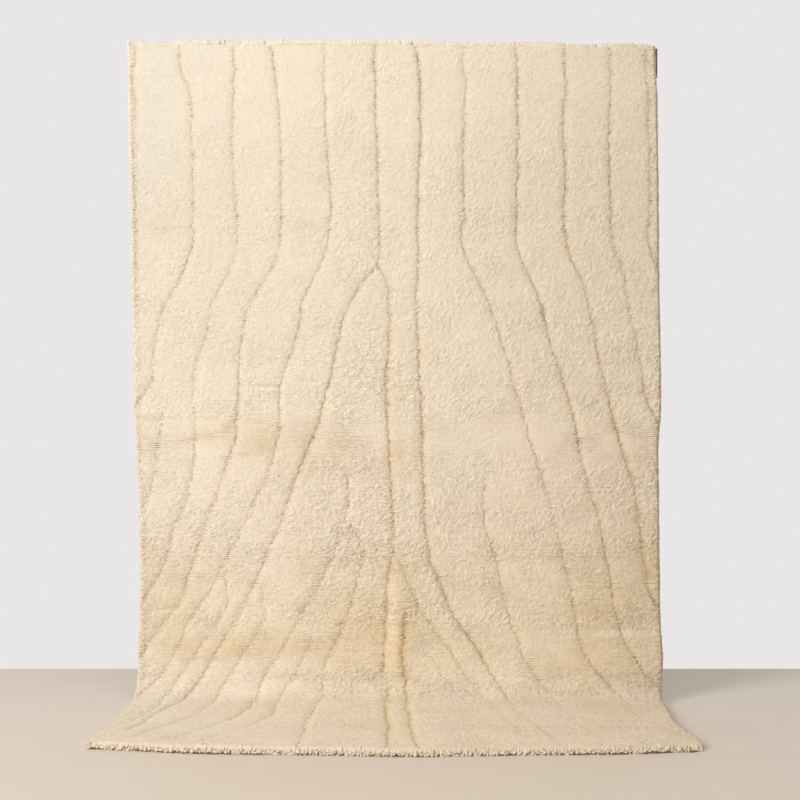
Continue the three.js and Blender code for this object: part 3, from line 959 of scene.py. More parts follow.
    def _notched(self, x: Array, down: Array) -> Array:
        """How far the pile is parted round each tack, from 0 to 1."""
        notches = (np.exp(-(((x - middle) / self.notch_width) ** 2)) for middle in self.notches)
        return (1 - eased(*self.notch_reach, down - self.pile_start)) * sum(notches, 0 * x)

    def _top_line(self, x: Array, down: Array) -> Array:
        """The broken shade a little below the upper edge, where the pile parts over the fold."""
        near = np.exp(-(((down - self.pile_start - self.top_line_down) / self.top_line_reach) ** 2))
        return self.top_shade * near * (1 + self.carving.broken.at(x, down))


class MeshParts:
    """Points, triangles and vertex values gathered into one mesh."""

    PLAIN = {
        "ruffle": 0.5, "rise": 0.5, "strand": 0.5,
        "warmth": 0.0, "rowing": 0.0, "slit": 0.0, "crest": 0.0,
    }
    NO_FACES = np.zeros((0, 3), int)

    def __init__(self) -> None:
        """Starts with nothing in it."""
        self.points: list[Array] = []
        self.faces: list[Array] = []
        self.values: dict[str, list[Array]] = {}
        self.count = 0

    def add(self, points: Array, faces: Array, x: Array, down: Array, **values: Array | float) -> None:
        """Adds points with their triangles and named vertex values.

        Args:
            points: rows of x, y and z in millimetres.
            faces: rows of three of these points.
            x: their places across the cloth.
            down: their places down the cloth.
            values: for each name, one number for all points or one for each; the rest are plain wool's.
        """
        self.points.append(points)
        self.faces.append(faces + self.count)
        placed = {"across": x * MM, "along": down * MM, **self.PLAIN, **values}
        for name, numbers in placed.items():
            self.values.setdefault(name, []).append(np.broadcast_to(numbers, len(points)))
        self.count += len(points)

    def build(self, name: str, materials: Sequence[Material]) -> Piece:
        """Makes the piece.

        Args:
            name: the piece's name.
            materials: its materials.

        Returns:
            The new object, smooth shaded.
        """
        points = np.concatenate(self.points) * MM
        faces = np.concatenate(self.faces)
        mesh = bpy.data.meshes.new(name)
        mesh.vertices.add(len(points))
        mesh.vertices.foreach_set("co", points.astype(np.float32).ravel())
        mesh.loops.add(faces.size)
        mesh.loops.foreach_set("vertex_index", faces.astype(np.int32).ravel())
        mesh.polygons.add(len(faces))
        mesh.polygons.foreach_set("loop_start", np.arange(0, faces.size, 3, dtype=np.int32))
        mesh.polygons.foreach_set("use_smooth", np.ones(len(faces), bool))
        mesh.update(calc_edges=True)
        for key, numbers in self.values.items():
            attribute = mesh.attributes.new(key, "FLOAT", "POINT")
            attribute.data.foreach_set("value", np.concatenate(numbers).astype(np.float32))
        for material in materials:
            mesh.materials.append(material)
        piece = bpy.data.objects.new(name, mesh)
        bpy.context.scene.collection.objects.link(piece)
        log.info("%s: %d triangles", name, len(faces))
        return piece


class SheetFinish(Enum):
    """The finishes of the rug's sheet, in the order of its material slots."""

    PILE = 0
    BAND = 1
    BACK = 2


# Points nearer to each other than this, in millimetres, count as one.
ONE_POINT = 1e-6
# Asks the triangulation for triangles over the whole of the points' outline.
WHOLE_OUTLINE = 0


def triangulated(edge: Array, inner: Array) -> tuple[Array, Array, Array]:
    """Triangles between points of a flat rectangle.

    Args:
        edge: the points along the rectangle's edge, in order.
        inner: the points inside it.

    Returns:
        The points, the triangles, and where the edge's points stand among the points.
    """
    given = np.vstack([edge, inner])
    made = delaunay_2d_cdt([Vector(place) for place in given], [], [], WHOLE_OUTLINE, ONE_POINT)
    order = np.zeros(len(given), int)
    for number, sources in enumerate(made[3]):
        order[sources] = number
    points = np.array([tuple(place) for place in made[0]], float)
    points[order] = given
    return points, np.array(made[2]), order[: len(edge)]


def wall_faces(rings: Sequence[Array]) -> Array:
    """Triangles between closed rings of points.

    Args:
        rings: the numbers of each ring's points, in order.

    Returns:
        Rows of three point numbers.
    """
    faces = []
    for above, below in zip(rings, rings[1:]):
        next_above, next_below = np.roll(above, -1), np.roll(below, -1)
        faces.append(np.column_stack([above, next_below, below]))
        faces.append(np.column_stack([above, next_above, next_below]))
    return np.vstack(faces)[:, ::-1]


def staggered(step: float, rows: Array) -> Array:
    """Staggered points in rows across the flat rectangle.

    Args:
        step: the distance between points in a row.
        rows: how far down each row lies.

    Returns:
        A row of across and down for each point.
    """
    columns = np.arange(-HALF_WIDTH + step, HALF_WIDTH - step / 2, step)
    across, down = np.meshgrid(columns, rows)
    across = across + (np.arange(len(rows))[:, None] % 2 - 0.5) * step / 2
    return np.column_stack([across.ravel(), down.ravel()])


def flat_edge(side: Array, step: float) -> Array:
    """The edge of a stretch of the flat rectangle: down its left, along its end, up its right and back.

    Args:
        side: how far down the points of its two sides lie.
        step: the distance between the points of its ends.

    Returns:
        A row of across and down for each point.
    """
    across = np.linspace(-HALF_WIDTH, HALF_WIDTH, int(2 * HALF_WIDTH / step) + 1)[1:-1]
    left = np.column_stack([np.full(len(side), -HALF_WIDTH), side])
    low = np.column_stack([across, np.full(len(across), side[-1])])
    right = np.column_stack([np.full(len(side), HALF_WIDTH), side[::-1]])
    high = np.column_stack([across[::-1], np.full(len(across), side[0])])
    return np.vstack([left, low, right, high])


@dataclass
class RugSheet:
    """The rug's ground weave as one closed sheet: its band at the top, its back and the pile's roots."""

    run: ClothRun
    relief: PileRelief
    inset: float = 3
    edge_step: float = 16
    front_step: float = 25
    back_step: float = 34
    band_rows: tuple[float, ...] = (8, 15, 20, 24, 26, 28, 30, 33, 36, 40, 46, 54)
    band_step: float = 14
    bend_rows: int = 16

    def _edge(self) -> Array:
        """The flat rectangle's edge, with closer points along the band.

        Returns:
            A row of across and down for each point.
        """
        long = self.run.front_middle
        downs = np.linspace(self.band_rows[-1], long, int(long / self.edge_step))
        return flat_edge(np.concatenate([[0], self.band_rows, downs[1:]]), self.edge_step)

    def _inner(self, step: float) -> Array:
        """Points over the flat rectangle, in closer rows over the band and round the bend.

        Args:
            step: the distance between points elsewhere.

        Returns:
            A row of across and down for each point.
        """
        long = self.run.front_middle
        rows = np.arange(self.band_rows[-1] + step / 2, long - step / 2, step)
        bend = np.linspace(self.run.bend_start, self.run.bend_end, self.bend_rows)
        rows = rows[(rows < bend[0] - step / 2) | (rows > bend[-1] + step / 2)]
        rows = np.sort(np.concatenate([rows, bend]))
        return np.vstack([staggered(step, rows), staggered(self.band_step, np.array(self.band_rows))])

    def _inward(self, flat: Array) -> tuple[Array, Array]:
        """Places of the cloth, drawn in a little so that the pile laps round the weave.

        Args:
            flat: rows of across and down in the flat rectangle.

        Returns:
            The places across the cloth and down it.
        """
        x, down = self.run.from_flat(flat)
        drawn = self.inset * eased(self.relief.band_end, self.relief.pile_start, down)
        side = np.clip(flat[:, 0] / HALF_WIDTH, -1, 1)
        front = np.clip(1 - (self.run.front_middle - flat[:, 1]) / self.front_step, 0, 1)
        return x - side * drawn, down - front * self.inset

    def _thickness(self, down: Array) -> Array:
        """The sheet's thickness: the bare weave of the band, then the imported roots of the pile."""
        rooted = eased(self.relief.band_end, self.relief.pile_start, down)
        return blended(self.relief.band_thick, self.relief.weave_height, rooted)

    def build(self, materials: Sequence[Material]) -> Piece:
        """Makes the rug's sheet.

        Args:
            materials: the pile's, the band's and the back's.

        Returns:
            The piece.
        """
        edge = self._edge()
        front, front_faces, front_edge = triangulated(edge, self._inner(self.front_step))
        back, back_faces, back_edge = triangulated(edge, self._inner(self.back_step))
        parts = MeshParts()
        x, down = self._inward(front)
        parts.add(self.run.place(x, down, self._thickness(down)), front_faces[:, ::-1], x, down)
        back_edge = back_edge + parts.count
        x, down = self._inward(back)
        parts.add(self.run.place(x, down, np.zeros_like(x)), back_faces, x, down)
        parts.faces.append(wall_faces([front_edge, back_edge]))
        piece = parts.build("rug_sheet", materials)
        slots = np.full(len(piece.data.polygons), SheetFinish.BAND.value)
        middles = front[front_faces].mean(axis=1)[:, 1]
        slots[: len(front_faces)][middles > self.relief.pile_start] = SheetFinish.PILE.value
        slots[len(front_faces) : len(front_faces) + len(back_faces)] = SheetFinish.BACK.value
        piece.data.polygons.foreach_set("material_index", slots.astype(np.int32))
        return piece


@dataclass
class PileFace:
    """The face of the pile, knot row by knot row, in bands that lie edge to edge down the cloth."""

    run: ClothRun
    relief: PileRelief
    bands: int = 5
    base_height: float = 8
    edge_base: float = 1.5
    rings: tuple[Pair, ...] = ((0.62, 2.2), (0.25, 2.0), (0.0, -3.0))
    top_rows: Pair = (1.3, 2.7)
    under_step: float = 40
    row_wander: float = 3.0
    wander: Drift = Drift(seed=41, across=140, along=70)
    quiet_reach: float = 45
    side_clear: float = 2.2
    line_stride: float = 4.1
    line_offsets: tuple[float, ...] = (0, -3.0, 3.0)
    line_clear: float = 4.8
    line_near: float = 0.8
    line_slack: float = 0.1
    wall_rise: Pair = (0.4, 0.8)
    fray: float = 2.4
    fray_reach: float = 9
    fraying: Drift = Drift(seed=42, across=12, along=9)

    @property
    def half_row(self) -> float:
        """The distance between two rows of points: one on the crest of the knots, one between them."""
        return self.relief.row_pitch / 2

    def _seams(self) -> Array:
        """How far down the flat rectangle the bands begin and end, on whole rows of knots.

        Returns:
            The start of each band, and the end of the last.
        """
        long = self.run.front_middle - self.relief.pile_start
        rows = round(long / self.relief.row_pitch)
        starts = np.round(np.linspace(0, rows, self.bands + 1))
        return self.relief.pile_start + starts * long / rows

    def _grid(self, start: float, end: float, rows: Array) -> Array:
        """Points on the rows of knots, which wander a little, clear of the carved lines.

        Args:
            start: how far down the band begins.
            end: how far down it ends.
            rows: how far down each row of knots lies.

        Returns:
            A row of across and down for each point.
        """
        flat = staggered(self.relief.knot_pitch / 2, rows)
        x, down = self.run.from_flat(flat)
        inward = HALF_WIDTH - np.abs(flat[:, 0])
        quiet = np.minimum(np.minimum(flat[:, 1] - start, end - flat[:, 1]), inward)
        calm = np.clip(quiet / self.quiet_reach, 0, 1)
        flat[:, 1] += self.row_wander * self.wander.at(x, down) * calm
        x, down = self.run.from_flat(flat)
        return flat[self.relief.carving.field.read("gap", x, down) > self.line_clear]

    def _frayed(self, flat: Array) -> tuple[Array, Array]:
        """Places on the cloth from flat ones, with the two sides frayed in and out a little.

        Args:
            flat: rows of across and down in the flat rectangle.

        Returns:
            The places across the cloth and down it.
        """
        x, down = self.run.from_flat(flat)
        near = np.clip(1 - (HALF_WIDTH - np.abs(flat[:, 0])) / self.fray_reach, 0, 1)
        return x + near * self.fray * self.fraying.at(x, down), down

    def _line_points(self, start: float, end: float) -> Array:
        """Points in rows along every carved line, inside a band.

        Args:
            start: how far down the band begins.
            end: how far down it ends.

        Returns:
            A row of across and down for each point.
        """
        found = []
        field = self.relief.carving.field
        for stations in field.walks:
            reach = np.concatenate([[0], np.cumsum(np.hypot(*np.diff(stations[:, :2], axis=0).T))])
            along = np.arange(0, reach[-1], self.line_stride)
            kept = np.column_stack([np.interp(along, reach, stations[:, column]) for column in range(4)])
            for offset in self.line_offsets:
                x, down = kept[:, 0] + kept[:, 2] * offset, kept[:, 1] + kept[:, 3] * offset
                own = field.read("gap", x, down) > abs(offset) * self.line_near - self.line_slack
                found.append(self.run.to_flat(x[own], down[own]))
        flat = np.vstack(found)
        inside = (
            (flat[:, 1] > start + self.side_clear)
            & (flat[:, 1] < end - self.side_clear)
            & (np.abs(flat[:, 0]) < HALF_WIDTH - self.side_clear)
        )
        return flat[inside]

    def _add_face(self, parts: MeshParts, flat: Array, faces: Array, first: float) -> Array:
        """Adds the carved face of a band.

        Args:
            parts: the mesh to add it to.
            flat: its points in the flat rectangle.
            faces: rows of three of these points.
            first: how far down its first row of knots lies.

        Returns:
            How high each point lies.
        """
        x, down = self._frayed(flat)
        rows = np.cos(FULL_TURN * (flat[:, 1] - first) / self.relief.row_pitch)
        height, values = self.relief.face(x, down, rows)
        parts.add(self.run.place(x, down, height), faces[:, ::-1], x, down, **values)
        return height

    def _add_rings(self, parts: MeshParts, edge: Array, height: Array, last: bool) -> list[Array]:
        """Adds the rings of points down a band's walls.

        Args:
            parts: the mesh to add them to.
            edge: the band's edge in the flat rectangle.
            height: how high the face lies there.
            last: whether the band ends at the front of the rug.

        Returns:
            The numbers of each ring's points, from the upper ring down.
        """
        x, down = self._frayed(edge)
        open_side = np.abs(edge[:, 0]) == HALF_WIDTH
        upper = edge[:, 1] == self.relief.pile_start
        lower = (edge[:, 1] == edge[:, 1].max()) & last
        base = np.where(open_side | upper | lower, self.edge_base, self.base_height)
        out_x = np.sign(edge[:, 0]) * open_side
        out_down = lower.astype(float) - upper
        numbers = []
        for share, bulge in self.rings:
            numbers.append(np.arange(len(edge)) + parts.count)
            bulged = np.maximum(down + out_down * bulge, 0)
            parts.add(
                self.run.place(x + out_x * bulge, bulged, blended(base, height, share)),
                parts.NO_FACES,
                x,
                down + height * (1 - share),
                ruffle=self.relief.texture.ruffle(x, down),
                # Painted shade: the walls darker towards their base.
                rise=blended(*self.wall_rise, share),
                warmth=self.relief.warmth.at(x, down),
            )
        return numbers

    def _add_under(self, parts: MeshParts, edge: Array, ring: Array) -> None:
        """Closes a band underneath.

        Args:
            parts: the mesh to add to.
            edge: the band's edge in the flat rectangle.
            ring: the numbers of the lowest ring's points.
        """
        start, end = edge[:, 1].min(), edge[:, 1].max()
        rows = np.arange(start + self.under_step / 2, end - self.under_step / 4, self.under_step)
        under, faces, outer = triangulated(edge, staggered(self.under_step, rows))
        inside = np.ones(len(under), bool)
        inside[outer] = False
        renumbered = np.zeros(len(under), int)
        renumbered[inside] = np.arange(inside.sum()) + parts.count
        renumbered[outer] = ring
        x, down = self.run.from_flat(under[inside])
        parts.add(self.run.place(x, down, np.full(len(x), self.base_height)), parts.NO_FACES, x, down)
        parts.faces.append(renumbered[faces])

    def _band(self, number: int, start: float, end: float, material: Material) -> Piece:
        """Makes one band of the pile's face as a closed piece.

        Args:
            number: its place from the top, counted from 1.
            start: how far down the flat rectangle it begins.
            end: how far down it ends.
            material: the wool of the pile.

        Returns:
            The piece.
        """
        count = max(round((end - start) / self.half_row), 2)
        rows = np.linspace(start, end, count + 1)[1:-1]
        if number == 1:
            rows = np.concatenate([start + np.array(self.top_rows), rows])
        edge = flat_edge(np.concatenate([[start], rows, [end]]), self.relief.knot_pitch / 2)
        inner = np.vstack([self._grid(start, end, rows), self._line_points(start, end)])
        flat, faces, top_ring = triangulated(edge, inner)
        parts = MeshParts()
        height = self._add_face(parts, flat, faces, start)
        rings = self._add_rings(parts, edge, height[top_ring], number == self.bands)
        self._add_under(parts, edge, rings[-1])
        parts.faces.append(wall_faces([top_ring, *rings]))
        piece = parts.build(f"pile_{number}", [material])
        seam = np.zeros(parts.count, bool)
        between = ((edge[:, 1] == start) & (number > 1)) | ((edge[:, 1] == end) & (number < self.bands))
        seam[top_ring[between]] = True
        self._sharpen(piece, seam)
        return piece

    def _sharpen(self, piece: Piece, seam: Array) -> None:
        """Keeps the shading of the face from turning down the wall where two bands meet.

        Args:
            piece: the band.
            seam: for each point, whether it lies where the face meets another band.
        """
        ends = np.empty(2 * len(piece.data.edges), np.int32)
        piece.data.edges.foreach_get("vertices", ends)
        sharp = piece.data.attributes.new("sharp_edge", "BOOLEAN", "EDGE")
        sharp.data.foreach_set("value", seam[ends.reshape(-1, 2)].all(axis=1))

    def build(self, material: Material) -> list[Piece]:
        """Makes the bands.

        Args:
            material: the wool of the pile.

        Returns:
            The pieces, from the top down.
        """
        seams = self._seams()
        return [
            self._band(number + 1, start, end, material)
            for number, (start, end) in enumerate(zip(seams, seams[1:]))
        ]


def ring_faces(rings: int, sides: int) -> Array:
    """Triangles of a closed tube, whose points are given ring by ring.

    Args:
        rings: how many rings it has.
        sides: how many points each ring has.

    Returns:
        Rows of three point numbers.
    """
    ring = np.arange(sides)
    quads = [(ring + k * sides, np.roll(ring, -1) + k * sides) for k in range(rings - 1)]
    faces = [np.column_stack([a, b, b + sides]) for a, b in quads]
    faces += [np.column_stack([a, b + sides, a + sides]) for a, b in quads]
    fan = np.column_stack([np.zeros(sides - 2, int), ring[2:], ring[1:-1]])
    return np.vstack([*faces, fan, fan[:, ::-1] + (rings - 1) * sides])


def tube(line: Array, radii: Array, sides: int, beside: tuple[float, float, float]) -> tuple[Array, Array]:
    """A closed tube round a line.

    Args:
        line: rows of three along its middle.
        radii: its radius at each.
        sides: how many sides it has.
        beside: a direction that the line never takes.

    Returns:
        Its points, ring by ring, and its triangles.
    """
    tangent = np.gradient(line, axis=0)
    tangent /= np.linalg.norm(tangent, axis=1, keepdims=True)
    side = np.cross(tangent, beside)
    side /= np.linalg.norm(side, axis=1, keepdims=True)
    up = np.cross(side, tangent)
    angles = np.arange(sides) * FULL_TURN / sides
    around = np.cos(angles)[None, :, None] * side[:, None] + np.sin(angles)[None, :, None] * up[:, None]
    points = (line[:, None] + radii[:, None, None] * around).reshape(-1, 3)
    return points, ring_faces(len(line), sides)


@dataclass
class RimLocks:
    """Short locks of wool that stand out along the pile's two sides and its upper edge."""

    run: ClothRun
    relief: PileRelief
    keep_clear: Sequence[Pair]
    step: float = 5.5
    top_step: float = 3.8
    scatter: float = 2
    starts_below: float = 4
    ends_before: float = 8
    root: float = 6
    heights: Pair = (6, 18)
    reach: Pair = (0.3, 2.8)
    downward: Pair = (1.5, 3.5)
    outward: Pair = (1.0, 3.0)
    top_heights: Pair = (8, 13)
    top_reach: Pair = (1.0, 5.0)
    top_sideways: Pair = (0, 3.0)
    top_outward: Pair = (-1.5, 2.5)
    radius: Pair = (1.7, 2.7)
    swelling: tuple[float, ...] = (0.8, 1.0, 0.85, 0.35)
    bend: float = 0.5
    sides: int = 5
    strands: Pair = (0.2, 0.8)
    root_rise: float = 0.5
    seed: int = 53

    ACROSS_SIDE = (0.1, 0.9, -0.4)
    ACROSS_TOP = (1, 0, 0.3)

    def _lock(self, parts: MeshParts, root: Array, way: Array, rng: Rng) -> None:
        """Adds one lock.

        Args:
            parts: the mesh to add it to.
            root: where it starts, as x, down and height.
            way: how far it goes in each of these.
            rng: the source of its bends.
        """
        rings = len(self.swelling)
        share = np.linspace(0, 1, rings)[:, None]
        line = root + way * share + rng.normal(0, self.bend, (rings, 3)) * share
        radii = rng.uniform(*self.radius) * np.array(self.swelling)
        beside = self.ACROSS_SIDE if abs(way[0]) > abs(way[1]) else self.ACROSS_TOP
        points, faces = tube(line, radii, self.sides, beside)
        x, down, height = points.T
        above = np.maximum(self.relief.pile_start - down, 0)
        placed = self.run.place(x, down + above, np.maximum(height, 0))
        placed[:, 2] += above
        parts.add(
            placed,
            faces[:, ::-1],
            x,
            down,
            # Painted shade: each lock darker towards its root.
            rise=np.repeat(blended(self.root_rise, 1, share[:, 0]), self.sides),
            strand=rng.uniform(*self.strands),
            warmth=float(self.relief.warmth.at(root[:1], root[1:2])[0]),
        )

    def build(self, material: Material) -> Piece:
        """Makes the locks.

        Args:
            material: the wool of the pile.

        Returns:
            The piece.
        """
        rng = np.random.default_rng(self.seed)
        parts = MeshParts()
        start = self.relief.pile_start
        end = float(self.run.length_at(np.array(1.0))) - self.ends_before
        for down in np.arange(start + self.starts_below, end, self.step):
            for sign, table in ((-1, SIDE_LEFT), (1, SIDE_RIGHT)):
                at = down + rng.uniform(-self.scatter, self.scatter)
                inward = float(table.at(np.array(at))) - sign * self.root
                root = np.array([inward, at, rng.uniform(*self.heights)])
                out = sign * (self.root + rng.uniform(*self.reach))
                way = np.array([out, rng.normal(*self.downward), rng.normal(*self.outward)])
                self._lock(parts, root, way, rng)
        left, right = SIDE_LEFT.at(np.array(start)), SIDE_RIGHT.at(np.array(start))
        for x in np.arange(left + self.step, right - self.step, self.top_step):
            if any(low < x < high for low, high in self.keep_clear):
                continue
            rise = float(self.relief.top_rises.at(np.array(x)))
            root = np.array([x, start + self.root, rng.uniform(*self.top_heights) + rise])
            up = -self.root - rng.uniform(*self.top_reach)
            way = np.array([rng.normal(*self.top_sideways), up, rng.normal(*self.top_outward)])
            self._lock(parts, root, way, rng)
        return parts.build("pile_rim_locks", [material])


@dataclass
class FrontFringe:
    """The ragged row of short fat locks over the front edge, with the dark end of the weave under them.

    Each layer gives how far behind the edge its locks are rooted and how high.
    """

    run: ClothRun
    pitch: float = 4.9
    pitch_scatter: float = 2.0
    layers: tuple[Pair, ...] = ((7, 4), (9, 10), (14, 16), (21, 20))
    layer_shorter: float = 0.12
    layer_higher: float = 3.2
    radius: Pair = (2.2, 3.8)
    thin: float = 0.75
    belly: float = 0.4
    belly_bend: float = 0.8
    sides: int = 6
    rings: int = 6
    reach: Pair = (17, 28)
    reach_loss: float = 0.25
    swing: float = 0.7
    swing_share: float = 0.7
    swing_bend: float = 1.4
    lift: float = 0.25
    sag: Pair = (0.55, 1.25)
    sag_bend: float = 2.2
    curl: float = 1.6
    curl_turn: float = 6
    height_scatter: float = 1.2
    least_height: float = 1.6
    short_height: float = 6.5
    drooping: Drift = Drift(seed=61, across=46, along=30)
    droop_scatter: float = 0.35
    root_rise: float = 0.45
    rise_bend: float = 0.5
    strands: Pair = (0.2, 0.8)
    warmths: Pair = (0.1, 0.3)
    brown_share: float = 0.03
    brown_warmth: float = 0.9
    weave_out: Table = Table(((-1, 6), (-0.6, 9), (0, 8), (0.1, 12), (0.6, 10), (0.85, 12), (1, 18)))
    weave_fray: float = 7
    weave_warmth: float = 0.7
    weave_inset: float = 3
    weave_places: int = 320
    fraying: Drift = Drift(seed=62, across=17, along=30)
    side_inset: float = 7
    edge_places: int = 401
    seed: int = 31

    ACROSS = (1, 0, 0.1)
    # The section of the weave's end: each point's share of the way out, towards the rug, and its height.
    WEAVE_SECTION = ((-0.05, 1.0), (-0.9, 0.6), (-1.0, 2.2), (-0.8, 4.0), (-0.3, 5.5), (-0.05, 5.0))

    def _lock(self, parts: MeshParts, x: float, front: float, layer: int, rng: Rng) -> None:
        """Adds one lock: out of the edge, over it and down towards the floor.

        Args:
            parts: the mesh to add it to.
            x: its place along the edge.
            front: how far forward the edge lies there.
            layer: which layer it belongs to, from the lowest.
            rng: the source of its bends.
        """
        behind, root = self.layers[layer]
        share = np.linspace(0, 1, self.rings)
        long = behind + rng.uniform(*self.reach) * (1 - self.layer_shorter * layer)
        swing = rng.normal(0, self.swing)
        curl = self.curl * np.sin(rng.uniform(0, FULL_TURN) + self.curl_turn * share) * share
        ahead = long * share * math.cos(swing) * (1 - self.reach_loss * share) - behind
        fall = self.lift * share - rng.uniform(*self.sag) * share**self.sag_bend
        height = root + long * fall + rng.normal(0, self.height_scatter)
        droop = float(self.drooping.at(np.array(x), np.array(0.0))) + rng.normal(0, self.droop_scatter)
        least = self.least_height if droop > 0 else self.short_height
        height = np.maximum(height, least + self.layer_higher * layer * share)
        across = x + long * self.swing_share * math.sin(swing) * share**self.swing_bend + curl
        line = np.column_stack([across, front - ahead, self.run.floor + height])
        swelling = self.thin + self.belly * np.sin(math.pi * share**self.belly_bend)
        radii = rng.uniform(*self.radius) * swelling
        points, faces = tube(line, radii, self.sides, self.ACROSS)
        points[:, 2] = np.maximum(points[:, 2], self.run.floor)
        parts.add(
            points,
            faces,
            points[:, 0],
            points[:, 2],
            # Painted shade: each lock darker towards its root.
            rise=np.repeat(blended(self.root_rise, 1, share**self.rise_bend), self.sides),
            strand=rng.uniform(*self.strands),
            warmth=self.brown_warmth if rng.uniform() < self.brown_share else rng.uniform(*self.warmths),
        )

    def build(self, material: Material) -> Piece:
        """Makes the fringe.

        Args:
            material: the wool of the fringe.

        Returns:
            The piece.
        """
        rng = np.random.default_rng(self.seed)
        parts = MeshParts()
        across = np.linspace(-1, 1, self.edge_places)
        length = self.run.length_at(across)
        edge_x = blended(SIDE_LEFT.at(length), SIDE_RIGHT.at(length), (across + 1) / 2)
        edge_y = self.run.ground(length)[0]
        for layer in range(len(self.layers)):
            x = edge_x[0] + self.side_inset
            while x < edge_x[-1] - self.side_inset:
                self._lock(parts, x, float(np.interp(x, edge_x, edge_y)), layer, rng)
                x += self.pitch + rng.uniform(-1, 1) * self.pitch_scatter
        self._weave_end(parts, edge_x, edge_y)
        return parts.build("fringe_yarns", [material])

    def _weave_end(self, parts: MeshParts, edge_x: Array, edge_y: Array) -> None:
        """Adds the dark end of the weave along the edge, which the locks hang over.

        Args:
            parts: the mesh to add it to.
            edge_x: places along the edge.
            edge_y: how far forward the edge lies at each.
        """
        x = np.linspace(edge_x[0] + self.weave_inset, edge_x[-1] - self.weave_inset, self.weave_places)
        y = np.interp(x, edge_x, edge_y)
        out = self.weave_out.at(np.linspace(-1, 1, len(x)))
        out = out + self.weave_fray * self.fraying.at(x, np.zeros_like(x))
        ahead, high = np.array(self.WEAVE_SECTION).T
        sections = np.broadcast_arrays(x[:, None], y[:, None] + out[:, None] * ahead, self.run.floor + high)
        points = np.stack(sections, axis=-1).reshape(-1, 3)
        faces = ring_faces(len(x), len(ahead))
        parts.add(points, faces, points[:, 0], points[:, 2], rise=0.0, warmth=self.weave_warmth)


def opaque(colour: Colour) -> tuple[float, float, float, float]:
    """The colour with nothing showing through it."""
    return (*colour, 1)


class NodeSheet:
    """A node tree with short ways to add nodes and links."""

    def __init__(self, tree: Tree) -> None:
        """Keeps the tree."""
        self.tree = tree

    def node(self, kind: str, **settings: object) -> bpy.types.Node:
        """Adds a node.

        Args:
            kind: its Blender type, without the prefix ShaderNode.
            settings: its properties, and the plain values or the sources of its inputs, by their names.

        Returns:
            The node.
        """
        node = self.tree.nodes.new(kind if kind.startswith("Node") else f"ShaderNode{kind}")
        for name, value in settings.items():
            label = name.replace("_", " ")
            if isinstance(value, Socket):
                self.link(value, node.inputs[label])
            elif hasattr(node, name):
                setattr(node, name, value)
            else:
                node.inputs[label].default_value = value
        return node

    def link(self, source: Socket, target: Socket) -> None:
        """Joins two sockets."""
        self.tree.links.new(source, target)

    def attribute(self, name: str) -> Socket:
        """The number that a mesh keeps for each of its vertices under a name."""
        return self.node("Attribute", attribute_name=name).outputs["Fac"]

    def place(self) -> Socket:
        """The place in the object, in metres."""
        return self.node("TexCoord").outputs["Object"]

    def stretched(self, size: tuple[float, float, float]) -> Socket:
        """The place in the object, times a size along each axis."""
        return self.node("Mapping", Scale=size, Vector=self.place()).outputs["Vector"]

    def math(self, operation: str, *terms: Socket | float) -> Socket:
        """The result of a sum on sockets and plain numbers.

        Args:
            operation: the sum's Blender name.
            terms: its terms, in order.

        Returns:
            The source of the result.
        """
        node = self.node("Math", operation=operation)
        for socket, term in zip(node.inputs, terms):
            if isinstance(term, Socket):
                self.link(term, socket)
            else:
                socket.default_value = term
        return node.outputs["Value"]

    def step(self, value: Socket, low: float, high: float) -> Socket:
        """A smooth step of a value, from 0 at low to 1 at high."""
        smooth = {"interpolation_type": "SMOOTHSTEP", "From_Min": low, "From_Max": high}
        return self.node("MapRange", Value=value, **smooth).outputs["Result"]

    def spread(self, value: Socket, low: float, high: float) -> Socket:
        """A number that goes from low to high as a value goes from 0 to 1."""
        return self.node("MapRange", To_Min=low, To_Max=high, Value=value).outputs["Result"]

    def mix(self, share: object, first: object, second: object, kind: str = "MIX") -> Socket:
        """A mix of two colours, by a share; each may be a source or a plain value."""
        return self.node("MixRGB", blend_type=kind, Fac=share, Color1=first, Color2=second).outputs["Color"]

    def ramp(self, value: Socket, reach: Pair, colours: tuple[Colour, Colour]) -> Socket:
        """A colour that goes from the first to the second as a value goes through its reach.

        Args:
            value: the source of the value.
            reach: where the first colour ends and the second starts.
            colours: the two.

        Returns:
            The source of the colour.
        """
        ramp = self.node("ValToRGB", Fac=value)
        for element, position, colour in zip(ramp.color_ramp.elements, reach, colours):
            element.position = position
            element.color = opaque(colour)
        return ramp.outputs["Color"]

    def bump(self, height: Socket, strength: float, depth: float, **under: Socket) -> Socket:
        """The normal of a height, over another Normal where one is given."""
        node = self.node("Bump", Strength=strength, Distance=depth, Height=height, **under)
        return node.outputs["Normal"]

    def cloth(self, across: Socket, along: Socket) -> Socket:
        """The place on the cloth, across it and along it in metres."""
        return self.node("CombineXYZ", X=across, Y=along).outputs["Vector"]

    def noise(
        self, cloth: Socket, size: Pair, turn: float = 0.0, detail: float = 2.0, wander: float = 0.0
    ) -> Socket:
        """Cloudy noise over the cloth, drawn out one way.

        Args:
            cloth: the place on the cloth.
            size: the length and width of its clouds in metres.
            turn: the way they lie, in radians up from straight across.
            detail: how many finer clouds are laid over them.
            wander: how much they bend.

        Returns:
            The noise, from 0 to 1.
        """
        lie = {"Rotation": (0, 0, -turn), "Scale": (*size, 1)}
        laid = self.node("Mapping", vector_type="TEXTURE", Vector=cloth, **lie)
        noise = self.node(
            "TexNoise",
            noise_dimensions="2D",
            Scale=1.0,
            Detail=detail,
            Roughness=0.55,
            Distortion=wander,
            Vector=laid.outputs["Vector"],
        )
        return noise.outputs["Fac"]


